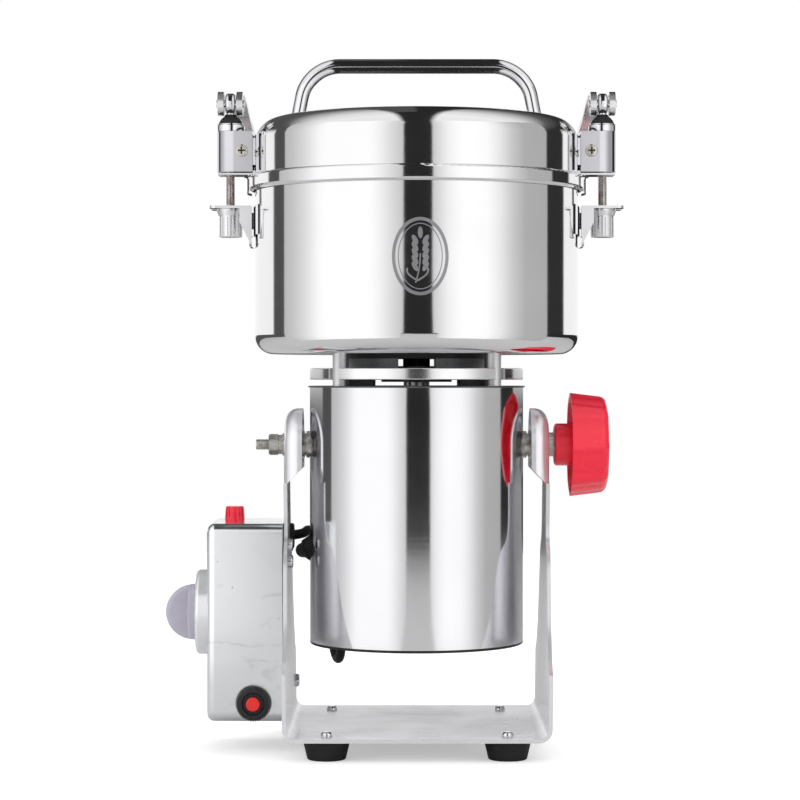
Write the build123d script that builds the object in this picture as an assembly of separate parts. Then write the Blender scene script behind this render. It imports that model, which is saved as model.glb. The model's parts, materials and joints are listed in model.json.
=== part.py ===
from build123d import *
import os
from math import atan2, degrees, pi, radians, sqrt, tan

# Electric grain mill: a motor head with a steel milling bowl, carried by two pivots in a bent sheet frame.
# Millimetres. +Z is up, the front faces -Y, and X runs along the pivots. The origin is on the plane that
# the feet stand on, straight below the middle of the bowl.

# ---------------------------------------------------------------- driving dimensions
# clearances
RUN = 0.06                # radial clearance of a turning or sliding fit
FIT = 0.1                 # gap between pieces that are assembled and stay put
SEAT = 0.3                # gap between a moving piece and its seat
LOOSE = 0.6               # gap between sheet pieces that pass each other

# frame
SHEET = 2.0               # thickness of the frame's sheet
BASE_HALF_WIDTH = 69.5    # outside of the uprights at the base
LEAN = 1.5                # how much further apart the uprights are at the pivots
HEAD_HALF_WIDTH = BASE_HALF_WIDTH + LEAN
BASE_HALF_DEPTH = 70.0
FRAME_BEND = 7.0          # outside radius of the bends
UPRIGHT_HEEL = 33.0       # height of the full-depth foot of an upright above the base plate
UPRIGHT_KNEE = 141.0      # height where the leaning upright turns vertical
PIVOT_Z = 162.3
PIVOT_HEAD_R = 19.6       # outside radius of an upright's rounded head
FLANGE_DEPTH = 9.8        # depth of the turned-in flange around the head
FLANGE_BEND = 7.5         # outside radius where the head turns into its flange
FLANGE_LEG = 20.4         # straight stretch of the flange below the pivot
FLANGE_CHAMFER = 9.0      # slant at the flange's two ends

# feet
FOOT_HEIGHT = 10.5
FOOT_TOP_R = 12.5
FOOT_BOTTOM_R = 10.0
FOOT_X = 47.1
FOOT_Y = 53.0
FOOT_SCREW_R = 2.0
FOOT_SCREW_HEAD_R = 3.0
FOOT_SCREW_HEAD_H = 1.7
FOOT_SCREW_GRIP = 7.0     # depth of the screw in the foot

# control box on the left upright
BOX_WIDTH = 40.0
BOX_HALF_DEPTH = 31.0
BOX_BOTTOM = 16.3
BOX_TOP = 121.0
BOX_WALL = 1.5
BOX_EDGE = 5.0
BACKPLATE = 1.5
TIMER_Z = 72.0
BEZEL_R = 22.8
BEZEL_HEIGHT = 7.3
KNOB_SKIRT_R = 15.0
KNOB_SKIRT_H = 4.0
KNOB_GRIP_R = 14.7
KNOB_GRIP_THICK = 9.0
KNOB_STEM_R = 3.0
KNOB_STEM_LENGTH = 14.0
TIMER_HALF = 20.0         # half the timer module's square face
TIMER_DEPTH = 26.0
POWER_IN = 13.0           # power button's axis from the box's outer wall
POWER_R = 5.3
POWER_TIP_R = 4.8
POWER_HEIGHT = 8.0
POWER_TRAVEL = 2.5
POWER_RIBS = 12
SWITCH_R = 9.0
SWITCH_LENGTH = 22.0
OVERLOAD_IN = 24.8        # overload switch's axis from the box's outer wall
OVERLOAD_Z = 26.4
RING_NUT_R = 9.25
RING_NUT_H = 5.5
RING_NUT_TEETH = 48
NECK_R = 5.5
RESET_R = 3.7
RESET_PROUD = 2.6
RESET_TRAVEL = 1.8
OVERLOAD_BODY_R = 7.0
OVERLOAD_BODY_EDGE = 1.5
OVERLOAD_BODY_LENGTH = 24.0
GLAND_R = 8.0
GLAND_BORE_R = 3.6
GLAND_Z = 36.0
BRACKET_SCREW_R = 2.0
BRACKET_HEAD_R = 3.6
BRACKET_HEAD_H = 2.2
SLOT_HALF = 0.4           # half width of a screw's driver slot
GLAND_FLANGE = 4.0
GLAND_WALL = 2.0
BUSH_FLANGE = 2.0         # width and thickness of the lead bush's flange
BUTTON_SUNK = 2.5         # depth of the power button's skirt in the wall
BOX_SCREW_Z = (99.5, 108.5)
BOX_SCREW_Y = -7.0
EARTH_SCREW_Y = 58.0
EARTH_SCREW_Z = 28.0

# motor
MOTOR_R = 57.5
MOTOR_WALL = 1.0
MOTOR_BOTTOM = 56.8
MOTOR_TOP = 193.1
BOTTOM_LIP = 1.5          # black edge that shows below the housing
CAP_PLUG = 5.0            # depth of a cap's plug in the housing
TOP_LIP_R = 58.4
TOP_LIP_H = 0.9
VENT_SPAN = (12.0, 22.0)  # a vent's two ends from the shaft's axis
VENT_HALF = 2.5
SHAFT_R = 5.0
BEARING_R = 15.0
BEARING_WIDTH = 7.0
STATOR_R = 47.0
STATOR_YOKE = 9.0
RIB_HALF = 6.0            # half width of the ribs that carry the field ring
STATOR_BOTTOM = 98.0
STATOR_HEIGHT = 50.0
AIR_GAP = 0.6
ARMATURE_R = 26.0
ARMATURE_SLOTS = 12
COIL_END = 9.0            # reach of the windings past the iron
POLE_HALF = 16.0          # half width of a field pole's neck
COMMUTATOR_R = 13.0
COMMUTATOR_BOTTOM = 73.0
COMMUTATOR_HEIGHT = 14.0
COMMUTATOR_BARS = 24
FAN_R = 46.0
FAN_HUB_R = 12.0
FAN_BOTTOM = 164.0
FAN_HEIGHT = 16.0
FAN_BLADES = 10
BRUSH = (9.0, 17.0, 6.0)  # brush along Z, along its slide and across
HOLDER_WALL = 1.5

# neck between motor and bowl
PLATE_R = 57.4
PLATE_BOTTOM = 197.3
PLATE_THICK = 6.2
LUG = (15.0, 12.0)        # cast lug under the plate, along X and along Y
LUG_X = 29.8
LUG_Y = 19.0
STANDOFF_R = 4.0
STANDOFF_X = 40.4
STANDOFF_Y = 34.0
HUB_R = 36.5
HUB_HEIGHT = 5.0
HUB_BOSS_R = 19.0
HUB_BOSS_DROP = 1.2       # reach of the bearing's boss below the plate
HUB_GAP = 9.8             # half width of the gap between the hub's two lugs
GASKET_HEIGHT = 2.5
SEAL_R = 12.0
SEAL_NECK_R = 7.3         # sleeve of the seal between the hub's lugs
SEAL_FLANGE_R = 16.0
SEAL_FLANGE_H = 2.5
COLLAR_R = 7.0            # collar on the shaft under the hub

# bowl
BOWL_R = 87.0
BOWL_WALL = 1.2
BOWL_FLOOR = 1.5
BOWL_CORNER = 10.0
BOWL_DEPTH = 93.8         # floor's underside to the rim
BOWL_SCREW_R = 2.0
BOWL_HEAD_R = 4.5
BOWL_HEAD_H = 2.4
BLADE_HALF = 76.0
BLADE_WIDTH = 17.0
BLADE_THICK = 2.5
BLADE_RISE = 9.0          # height gained by the turned-up tips of the lower blade
BLADE_GAP = 9.0           # spacer between the two blades
BLADE_CLEAR = 8.0         # lower blade above the seal
SPACER_R = 9.0
BLADE_NUT_R = 8.0
BLADE_NUT_H = 8.0

# lid
LID_R = BOWL_R - 0.5
LID_WALL = 1.0
LID_TOP = 337.0
LID_EDGE = 11.0           # radius between the lid's wall and its top
SHOULDER_Z = 307.0
SKIRT_R = BOWL_R + 3.0
SKIRT_BOTTOM = 298.5
HEM = 1.8                 # width of the hem that turns in at the skirt's lower edge
HANDLE_FOOT_X = LID_R - 22.3
HANDLE_TOP_X = HANDLE_FOOT_X - 5.7 # corner of the handle's centre line, before rounding
HANDLE_RISE = 29.2        # height of the handle's centre line above the lid
HANDLE_CORNER = 21.0
HANDLE_HIGH = 7.6
HANDLE_WIDE = 10.0

# pivots
BOSS_R = 7.25
BOSS_GROOVES = 4          # grooves around a boss
GROOVE_STEP = 2.3
GROOVE_DEPTH = 1.1
STUD_R = 3.0
STUD_REACH = 15.5         # stud's length outside the left upright
STUD_HEAD_R = 6.5
PIVOT_NUT_FLATS = 10.0
PIVOT_NUT_H = 5.6
WASHER_R = 6.0
WASHER_H = 3.0
KNOB_WASHER_R = 6.5
KNOB_WASHER_H = 3.0
KNOB_STUD_R = 4.0
KNOB_HUB_R = 11.4
KNOB_HUB_H = 10.2
KNOB_R = 27.9
KNOB_HEIGHT = 19.7
KNOB_OVERLAP = 1.6        # hub's length inside the hollow of the knob's head
KNOB_LOBES = 8
KNOB_LOBE_R = 9.5
KNOB_VALLEY = 1.0         # depth between the lobes
KNOB_VALLEY_R = 6.0       # rounding of the valleys
KNOB_TAPER = 7.0          # degrees
KNOB_EDGE = 4.5
KNOB_SHELL = 4.5          # thickness of the head's outer face
KNOB_LIP = 1.6            # thickness of its rim
STUD_DEPTH = 10.0         # locking stud's reach into its boss

# clamps: one on each side of the lid
CLAMP_X = BOWL_R + 13.3   # axis of the clamp rod from the bowl's axis
ROD_R = 2.35
CHANNEL_IN = BOWL_R + 1.0 # inner end of the channel housing
CHANNEL_OUT = CLAMP_X + 7.3
CHANNEL_HALF = 10.0
CHANNEL_WALL = 1.4
CHANNEL_BOTTOM = 308.8
CHANNEL_TOP = 330.5
CHANNEL_CORNER = 9.6
CHANNEL_SCREW_X = CLAMP_X - 6.6
CHANNEL_SCREW_Z = 320.0
CHANNEL_SCREW_R = 1.5
CHANNEL_SCREW_HEAD_R = 3.3
CROSS = (2.0, 0.45, 1.1)  # half length, half width and depth of a screw's cross recess
CUP_R = 7.1
CUP_WALL = 0.5
CUP_TOP = 335.0
DOME_CENTRE_Z = 333.5     # the rod swings about this point
DOME_R = 6.5
DOME_NECK_R = (5.0, 2.8)  # its neck, from the ball up to the eye
SWING = 25.0              # degrees
EYE_Z = 346.0
EYE_R = 5.6
EYE_HALF = 2.6
PIN_R = 2.0
CHEEK_IN = 3.4            # inner face of a lever cheek from the rod's axis
CHEEK_OUT = 6.7
CAM_R = 6.5
LEVER_SHEET = 2.0
LEVER_REACH = 32.0        # along Y, from the pin to the tip
LEVER_DROP = 17.0         # from the pin's height down to the tip
LEVER_IN = CLAMP_X - 6.6  # the grip curves around the lid between these radii
LEVER_OUT = CLAMP_X + 3.0
NUT_R = 6.3
NUT_FLANGE_R = 7.3
NUT_HEIGHT = 15.0
NUT_RIBS = 18
CATCH_Z = 289.1           # underside of the slotted catch
CATCH_SHEET = 1.4
CATCH_OUT = CLAMP_X + 10.7
CATCH_HALF = 12.5
CATCH_SLOT_R = 3.0
CATCH_LEAF_X = BOWL_R + 1.2
GUSSET_REACH = 6.6        # the gussets' width from the leaf
GUSSET_EDGE = 7.4         # height of their outer edges
GUSSET_HEIGHT = 17.6
CATCH_LEAF_BOTTOM = 268.5
STRAP = 0.8               # thickness of the straps on lid and bowl
STRAP_HALF_ANGLE = 16.5
STRAP_BOTTOM = 274.6
EAR_BOTTOM = 308.5
EAR_TOP = 328.0
RIVET_ANGLE = 11.4
RIVET_R = 1.9

# motor lead: points of its route, chosen by hand
LEAD_R = 2.6
LEAD_BUSH_R = 5.0
BOOT_R = 7.4
BOOT_DEPTH = 5.0
BOOT_NOSE_WALL = 1.4
BOOT_NOSE_LENGTH = 7.5
LEAD_ROUTE = (
    (-HEAD_HALF_WIDTH - 2.0, 15.0, 112.0),
    (-HEAD_HALF_WIDTH + 9.8, 15.6, 112.8),
    (-59.5, 27.0, 115.5),
    (-54.5, 40.0, 109.0),
    (-51.5, 50.5, 92.0),
    (-50.5, 60.0, 71.0),
    (-49.5, 65.5, 52.0),
    (-44.5, 62.0, 39.5),
    (-38.5, 53.0, 41.0),
    (-38.5, 48.5, 56.0),
    (-43.5, 45.5, 73.0),
    (-49.0, 38.0, 91.0),
    (-58.5, 26.0, 102.0),
    (-64.0, 12.0, 103.5),
    (-61.5, 3.0, 105.0),
)

# ---------------------------------------------------------------- derived places
PLATE_Z = FOOT_HEIGHT + SHEET                     # top of the base plate
INNER_HEAD = HEAD_HALF_WIDTH - SHEET
BOX_BACK = -HEAD_HALF_WIDTH - FIT                 # box face that lies on the upright
BOX_FRONT = BOX_BACK - BOX_WIDTH                  # box face that carries the timer
POWER_X = BOX_FRONT + POWER_IN
OVERLOAD_X = BOX_FRONT + OVERLOAD_IN
BEZEL_FACE = BOX_FRONT - BEZEL_HEIGHT
PLATE_TOP = PLATE_BOTTOM + PLATE_THICK
HUB_TOP = PLATE_TOP + HUB_HEIGHT
BOWL_BOTTOM = HUB_TOP + GASKET_HEIGHT
BOWL_FLOOR_Z = BOWL_BOTTOM + BOWL_FLOOR
BOWL_RIM = BOWL_BOTTOM + BOWL_DEPTH
SEAL_TOP = BOWL_FLOOR_Z + SEAL_FLANGE_H
LOWER_BLADE_Z = SEAL_TOP + BLADE_CLEAR
UPPER_BLADE_Z = LOWER_BLADE_Z + BLADE_THICK + BLADE_GAP
BLADE_NUT_Z = UPPER_BLADE_Z + BLADE_THICK
LOWER_BEARING_Z = MOTOR_BOTTOM + 4.0
UPPER_BEARING_Z = PLATE_TOP - BEARING_WIDTH + 0.7
STATOR_TOP = STATOR_BOTTOM + STATOR_HEIGHT
BORE_R = ARMATURE_R + AIR_GAP
HOUSING_INSIDE = MOTOR_R - MOTOR_WALL
CHANNEL_SLOT = 2 * ROD_R + 1.3
LEAD_HOLE = LEAD_ROUTE[0][1:]                     # where the lead passes the left upright, along Y and Z
HANDLE_TOP_Z = LID_TOP + HANDLE_RISE
STUD_END = HEAD_HALF_WIDTH + STUD_REACH           # outer end of the left pivot's stud
SIDES = {"left": -1, "right": 1}

os.makedirs("parts", exist_ok=True)
UPWARD = (Align.CENTER, Align.CENTER, Align.MIN)


# ---------------------------------------------------------------- small helpers
def rod(radius, low, high, axis="Z", at=(0, 0)):
    """Solid cylinder along an axis from low to high; at is its place on the other two axes."""
    solid = Cylinder(radius, high - low, align=UPWARD)
    if axis == "X":
        return Pos(low, at[0], at[1]) * Rot(0, 90, 0) * solid
    if axis == "Y":
        return Pos(at[0], low, at[1]) * Rot(-90, 0, 0) * solid
    return Pos(at[0], at[1], low) * solid


def tube(radius, bore, low, high, axis="Z", at=(0, 0)):
    """Hollow cylinder along an axis from low to high."""
    return rod(radius, low, high, axis, at) - rod(bore, low - 1, high + 1, axis, at)


def block(x, y, z):
    """Box between pairs of stations on the three axes."""
    size = (max(x) - min(x), max(y) - min(y), max(z) - min(z))
    return Pos(min(x), min(y), min(z)) * Box(*size, align=(Align.MIN, Align.MIN, Align.MIN))


def outline(points, plane):
    """Filled polygon on a plane."""
    return plane * make_face(Polyline(*points, close=True))


def cone(bottom_r, top_r, low, high, at=(0, 0)):
    return Pos(at[0], at[1], low) * Cone(bottom_r, top_r, high - low, align=UPWARD)


def top_edge(solid, radius):
    return fillet(solid.edges().filter_by(GeomType.CIRCLE).sort_by(Axis.Z)[-1], radius)


def bottom_edge(solid, radius):
    return fillet(solid.edges().filter_by(GeomType.CIRCLE).sort_by(Axis.Z)[0], radius)


def both_sides(piece):
    """The piece and its mirror image about the YZ plane."""
    return piece, mirror(piece, about=Plane.YZ)


def corners(x, y):
    return [(sx * x, sy * y) for sx in (-1, 1) for sy in (-1, 1)]


def save(name, *shapes):
    """Write one node, made of every solid in the given shapes."""
    solids = [solid for shape in shapes for solid in shape.solids()]
    node = solids[0] if len(solids) == 1 else Compound(solids)
    export_step(node, f"parts/{name}.step")


# ---------------------------------------------------------------- frame
def upright_face():
    """Side view of an upright: full depth at the heel, swept in to a slim neck and a round head."""
    heel = PLATE_Z + UPRIGHT_HEEL
    neck = PIVOT_HEAD_R
    web = PIVOT_HEAD_R - FLANGE_BEND
    flange_end = PIVOT_Z - FLANGE_LEG
    neck_z = flange_end - 14
    sweep_points = (
        (BASE_HALF_DEPTH, heel),
        (BASE_HALF_DEPTH - 14, heel + 9),
        (neck + 23, heel + 32),
        (neck + 10, heel + 61),
        (neck, neck_z),
    )
    right = [
        Line((0, FOOT_HEIGHT), (BASE_HALF_DEPTH, FOOT_HEIGHT)),
        Line((BASE_HALF_DEPTH, FOOT_HEIGHT), (BASE_HALF_DEPTH, heel)),
        Spline(*sweep_points, tangents=((-1, 0.2), (0, 1))),
        Line((neck, neck_z), (neck, flange_end)),
        Line((neck, flange_end), (web, flange_end)),
        Line((web, flange_end), (web, PIVOT_Z)),
        JernArc((web, PIVOT_Z), (0, 1), web, 90),
    ]
    half = make_face(Curve() + right + Line((0, PIVOT_Z + web), (0, FOOT_HEIGHT)))
    return Plane.YZ * (half + mirror(half, about=Plane.YZ))


def head_flange():
    """Rounded rim of the right upright's head, turned in towards the motor."""
    outside, inside = PIVOT_HEAD_R, PIVOT_HEAD_R - SHEET
    web = PIVOT_HEAD_R - FLANGE_BEND
    face_x, back_x = HEAD_HALF_WIDTH, INNER_HEAD
    rim_x = HEAD_HALF_WIDTH - FLANGE_DEPTH
    corner = (face_x - FLANGE_BEND, outside)
    section = make_face(
        Curve()
        + Line((face_x, web), (back_x, web))
        + JernArc((back_x, web), (0, 1), FLANGE_BEND - SHEET, 90)
        + Line((back_x - FLANGE_BEND + SHEET, inside), (rim_x, inside))
        + Line((rim_x, inside), (rim_x, outside))
        + Line((rim_x, outside), corner)
        + JernArc(corner, (1, 0), FLANGE_BEND, -90)
    )
    arch = Pos(0, 0, PIVOT_Z) * revolve(section, Axis.X, 180)
    legs = [
        Pos(0, 0, PIVOT_Z) * extrude(piece, amount=FLANGE_LEG, dir=(0, 0, -1))
        for piece in (section, mirror(section, about=Plane.XZ))
    ]
    slant = outline(
        [
            (rim_x - 1, PIVOT_Z - FLANGE_LEG - 1),
            (rim_x - 1, PIVOT_Z - FLANGE_LEG + FLANGE_CHAMFER),
            (back_x, PIVOT_Z - FLANGE_LEG),
            (back_x, PIVOT_Z - FLANGE_LEG - 1),
        ],
        Plane.XZ,
    )
    return arch + legs - extrude(slant, amount=2 * PIVOT_HEAD_R, both=True)


def frame_bracket():
    """Base plate and two uprights, bent from one sheet."""
    top = PIVOT_Z + PIVOT_HEAD_R
    side = [(HEAD_HALF_WIDTH, top), (HEAD_HALF_WIDTH, UPRIGHT_KNEE), (BASE_HALF_WIDTH, FOOT_HEIGHT)]
    inner = [(x - SHEET, z) for x, z in side[:2]] + [(BASE_HALF_WIDTH - SHEET, PLATE_Z)]
    loop = side + [(-x, z) for x, z in reversed(side)] + [(-x, z) for x, z in inner]
    loop += list(reversed(inner))
    section = make_face(Polyline(*loop, close=True))
    low = section.vertices().group_by(Axis.Y)
    section = fillet(low[1], FRAME_BEND - SHEET)
    section = fillet(section.vertices().group_by(Axis.Y)[0], FRAME_BEND)
    sheet = extrude(Plane.XZ * section, amount=BASE_HALF_DEPTH, both=True)
    sheet = sheet & extrude(upright_face(), amount=HEAD_HALF_WIDTH + 1, both=True)
    rim = head_flange()
    sheet = sheet + rim + mirror(rim, about=Plane.YZ)
    cuts = [rod(STUD_R + RUN, -HEAD_HALF_WIDTH - 1, -INNER_HEAD + 1, "X", (0, PIVOT_Z))]
    cuts += [rod(KNOB_STUD_R + RUN, INNER_HEAD - 1, HEAD_HALF_WIDTH + 1, "X", (0, PIVOT_Z))]
    cuts += [rod(FOOT_SCREW_R + FIT, 0, PLATE_Z + 1, "Z", spot) for spot in corners(FOOT_X, FOOT_Y)]
    cuts += [rod(LEAD_BUSH_R + FIT, -HEAD_HALF_WIDTH - 1, -BASE_HALF_WIDTH + 6, "X", LEAD_HOLE)]
    cuts += [
        rod(BRACKET_SCREW_R + FIT, -HEAD_HALF_WIDTH - 1, -BASE_HALF_WIDTH + 6, "X", spot)
        for spot in bracket_screw_places()
    ]
    return sheet - cuts


def bracket_screw_places():
    box_screws = [(BOX_SCREW_Y, z) for z in BOX_SCREW_Z]
    return box_screws + [(EARTH_SCREW_Y, EARTH_SCREW_Z)]


def upright_outside(z):
    """Distance of an upright's outer face from the middle plane at a height."""
    share = min(1, (z - FOOT_HEIGHT) / (UPRIGHT_KNEE - FOOT_HEIGHT))
    return BASE_HALF_WIDTH + share * (HEAD_HALF_WIDTH - BASE_HALF_WIDTH)


def bracket_screw(y, z):
    """Pan-head screw from the inside of the left upright outwards."""
    seat = -(upright_outside(z) - SHEET) + FIT
    reach = -BASE_HALF_WIDTH - 6 if y == BOX_SCREW_Y else -upright_outside(z) - 4
    head = rod(BRACKET_HEAD_R, seat, seat + BRACKET_HEAD_H, "X", (y, z))
    head = fillet(head.edges().group_by(Axis.X)[-1], 1.2)
    screw = head + rod(BRACKET_SCREW_R, reach, seat + 0.5, "X", (y, z))
    slot = block((seat + 1.4, seat + 3), (y - 3, y + 3), (z - SLOT_HALF, z + SLOT_HALF))
    return screw - slot


def rubber_foot(x, y):
    body = cone(FOOT_BOTTOM_R, FOOT_TOP_R, 0, FOOT_HEIGHT, (x, y))
    body = fillet(body.edges().filter_by(GeomType.CIRCLE).sort_by(Axis.Z)[0], 1.2)
    return body - rod(FOOT_SCREW_R + 0.02, FOOT_HEIGHT - FOOT_SCREW_GRIP, FOOT_HEIGHT + 1, "Z", (x, y))


def foot_screw(x, y):
    head = rod(FOOT_SCREW_HEAD_R, PLATE_Z, PLATE_Z + FOOT_SCREW_HEAD_H, "Z", (x, y))
    head = top_edge(head, 1.4)
    shank = rod(FOOT_SCREW_R, FOOT_HEIGHT - FOOT_SCREW_GRIP + 0.5, PLATE_Z + 0.5, "Z", (x, y))
    return head + shank


def build_frame():
    save("frame_bracket", frame_bracket())
    save("rubber_feet", *[rubber_foot(x, y) for x, y in corners(FOOT_X, FOOT_Y)])
    save("foot_screws", *[foot_screw(x, y) for x, y in corners(FOOT_X, FOOT_Y)])
    save("bracket_screws", *[bracket_screw(y, z) for y, z in bracket_screw_places()])


# ---------------------------------------------------------------- control box
def control_box_shell():
    """Deep-drawn cover, open towards the upright."""
    height = BOX_TOP - BOX_BOTTOM
    centre_z = (BOX_TOP + BOX_BOTTOM) / 2
    outer = Pos((BOX_FRONT + BOX_BACK) / 2, 0, centre_z) * Box(BOX_WIDTH, 2 * BOX_HALF_DEPTH, height)
    outer = fillet(outer.edges().filter_by(Axis.X), BOX_EDGE)
    outer = fillet(outer.faces().sort_by(Axis.X)[0].edges(), BOX_EDGE - 1)
    inner = Pos((BOX_FRONT + BOX_BACK) / 2 + BOX_WALL, 0, centre_z) * Box(
        BOX_WIDTH, 2 * (BOX_HALF_DEPTH - BOX_WALL), height - 2 * BOX_WALL
    )
    inner = fillet(inner.edges().filter_by(Axis.X), BOX_EDGE - BOX_WALL)
    inner = fillet(inner.faces().sort_by(Axis.X)[0].edges(), BOX_EDGE - 1 - BOX_WALL)
    holes = [
        rod(KNOB_STEM_R + 1, BOX_FRONT - 1, BOX_FRONT + 5, "X", (0, TIMER_Z)),
        rod(POWER_R + RUN, BOX_TOP - 6, BOX_TOP + 1, "Z", (POWER_X, 0)),
        rod(NECK_R + FIT, -BOX_HALF_DEPTH - 1, -BOX_HALF_DEPTH + 6, "Y", (OVERLOAD_X, OVERLOAD_Z)),
        rod(
            GLAND_BORE_R + GLAND_WALL + FIT, BOX_HALF_DEPTH - 6, BOX_HALF_DEPTH + 1, "Y",
            (OVERLOAD_X, GLAND_Z),
        ),
    ]
    return outer - inner - holes


def control_box_backplate():
    """Flat plate that closes the shell against the upright."""
    half, edge = BOX_HALF_DEPTH - BOX_WALL - FIT, BOX_EDGE - BOX_WALL
    low, high = BOX_BOTTOM + BOX_WALL + FIT, BOX_TOP - BOX_WALL - FIT
    plate = block((BOX_BACK - BACKPLATE, BOX_BACK), (-half, half), (low, high))
    plate = fillet(plate.edges().filter_by(Axis.X), edge)
    holes = [rod(LEAD_BUSH_R + FIT, BOX_BACK - 5, BOX_BACK + 1, "X", LEAD_HOLE)]
    holes += [
        rod(BRACKET_SCREW_R + FIT, BOX_BACK - 5, BOX_BACK + 1, "X", (BOX_SCREW_Y, z)) for z in BOX_SCREW_Z
    ]
    return plate - holes


def timer_bezel():
    ring = tube(BEZEL_R, KNOB_STEM_R + 1, BEZEL_FACE, BOX_FRONT, "X", (0, TIMER_Z))
    rim = ring.edges().filter_by(GeomType.CIRCLE).group_by(Axis.X)[0].sort_by(SortBy.RADIUS)[-1]
    return fillet(rim, 2.0)


def timer_module():
    """Clockwork timer: a square case behind the box's wall, with the bore that the knob's stem turns in."""
    inside = BOX_FRONT + BOX_WALL
    height = (TIMER_Z - TIMER_HALF, TIMER_Z + TIMER_HALF)
    case = block((inside, inside + TIMER_DEPTH), (-TIMER_HALF, TIMER_HALF), height)
    case = fillet(case.edges().filter_by(Axis.X), 3)
    return case - rod(KNOB_STEM_R + RUN, inside - 1, inside + KNOB_STEM_LENGTH, "X", (0, TIMER_Z))


def timer_knob():
    """Skirt disc with a half-round grip across it and a stem into the timer."""
    face = BEZEL_FACE - SEAT
    skirt = rod(KNOB_SKIRT_R, face - KNOB_SKIRT_H, face, "X", (0, TIMER_Z))
    skirt = fillet(skirt.edges().group_by(Axis.X)[0], 1.2)
    bar = rod(KNOB_GRIP_R, -KNOB_GRIP_THICK / 2, KNOB_GRIP_THICK / 2, "Y", (face - 1.8, TIMER_Z))
    bar = fillet(bar.edges().filter_by(GeomType.CIRCLE), 2.5)
    bar = bar & block((face - 40, face - 1.8), (-20, 20), (TIMER_Z - 30, TIMER_Z + 30))
    stem = rod(KNOB_STEM_R, face - 1, BOX_FRONT + BOX_WALL + KNOB_STEM_LENGTH - 2, "X", (0, TIMER_Z))
    return skirt + bar + stem


def power_button():
    """Ribbed push cap, slightly tapered, with a plain skirt in the box's top wall."""
    spot = (POWER_X, 0)
    skirt = rod(POWER_R, BOX_TOP - BUTTON_SUNK, BOX_TOP + 1.5, "Z", spot)
    cap = cone(POWER_R, POWER_TIP_R, BOX_TOP + 1.5, BOX_TOP + POWER_HEIGHT, spot)
    cap = top_edge(cap, 0.8)
    grooves = [
        Pos(POWER_X, 0, 0) * Rot(0, 0, turn * 360 / POWER_RIBS)
        * block((POWER_TIP_R - 0.2, POWER_R + 1), (-0.45, 0.45), (BOX_TOP + 2.5, BOX_TOP + POWER_HEIGHT + 1))
        for turn in range(POWER_RIBS)
    ]
    return skirt + cap - grooves


def power_switch_body():
    spot = (POWER_X, 0)
    top = BOX_TOP - BOX_WALL
    body = rod(SWITCH_R, top - SWITCH_LENGTH, top, "Z", spot)
    well = BUTTON_SUNK - BOX_WALL + POWER_TRAVEL + SEAT
    return body - rod(POWER_R + 0.4, top - well, top + 1, "Z", spot)


def overload_protector_body():
    """Round case behind the front wall, with a threaded neck through it."""
    at = (OVERLOAD_X, OVERLOAD_Z)
    wall_in = -BOX_HALF_DEPTH + BOX_WALL
    case = rod(OVERLOAD_BODY_R, wall_in, wall_in + OVERLOAD_BODY_LENGTH, "Y", at)
    case = chamfer(case.edges().group_by(Axis.Y)[0], OVERLOAD_BODY_EDGE)
    neck = rod(NECK_R, -BOX_HALF_DEPTH - RING_NUT_H + 1.2, wall_in + 1, "Y", at)
    return case + neck - rod(RESET_R + RUN, -BOX_HALF_DEPTH - RING_NUT_H, wall_in + 4, "Y", at)


def overload_ring_nut():
    """Knurled plastic nut that holds the overload switch in the wall."""
    at = (OVERLOAD_X, OVERLOAD_Z)
    face = -BOX_HALF_DEPTH - RING_NUT_H
    nut = rod(RING_NUT_R, face, -BOX_HALF_DEPTH, "Y", at)
    nut = fillet(nut.edges().group_by(Axis.Y)[0], 1.6)
    nut = nut - rod(NECK_R + FIT, face - 1, -BOX_HALF_DEPTH + 1, "Y", at)
    notch = pi * RING_NUT_R / RING_NUT_TEETH / 2
    cut = block((RING_NUT_R - 0.45, RING_NUT_R + 1), (face - 1, -BOX_HALF_DEPTH + 1), (-notch, notch))
    cuts = [
        Pos(at[0], 0, at[1]) * Rot(0, turn * 360 / RING_NUT_TEETH, 0) * cut for turn in range(RING_NUT_TEETH)
    ]
    return nut - cuts


def reset_button():
    at = (OVERLOAD_X, OVERLOAD_Z)
    tip = -BOX_HALF_DEPTH - RING_NUT_H + 1.2 - RESET_PROUD
    button = rod(RESET_R, tip, -BOX_HALF_DEPTH + BOX_WALL + 4 - RESET_TRAVEL - 0.4, "Y", at)
    return fillet(button.edges().group_by(Axis.Y)[0], 0.7)


def cord_grommets():
    """Bush for the motor lead through the upright, and gland for a mains cord in the box's rear wall."""
    y, z = LEAD_HOLE
    inner = -(upright_outside(z) - SHEET) + FIT
    bush = rod(LEAD_BUSH_R, LEAD_ROUTE[0][0], inner + 1, "X", (y, z))
    flange = rod(LEAD_BUSH_R + BUSH_FLANGE, inner, inner + BUSH_FLANGE, "X", (y, z))
    flange = fillet(flange.edges().group_by(Axis.X)[-1], 1.2)
    bush = bush + flange - lead_tube(LEAD_R)
    at = (OVERLOAD_X, GLAND_Z)
    wall = BOX_HALF_DEPTH
    gland = rod(GLAND_R, wall, wall + GLAND_FLANGE, "Y", at)
    gland = fillet(gland.edges().group_by(Axis.Y)[-1], 1.5)
    gland = gland + rod(GLAND_BORE_R + GLAND_WALL, wall - BOX_WALL - 3, wall + 1, "Y", at)
    return bush, gland - rod(GLAND_BORE_R, wall - 10, wall + 10, "Y", at)


def build_control_box():
    save("control_box_shell", control_box_shell())
    save("control_box_backplate", control_box_backplate())
    save("timer_bezel", timer_bezel())
    save("timer_module", timer_module())
    save("timer_knob", timer_knob())
    save("power_button", power_button())
    save("power_switch_body", power_switch_body())
    save("overload_protector_body", overload_protector_body())
    save("overload_ring_nut", overload_ring_nut())
    save("reset_button", reset_button())
    save("cord_grommets", *cord_grommets())


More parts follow.
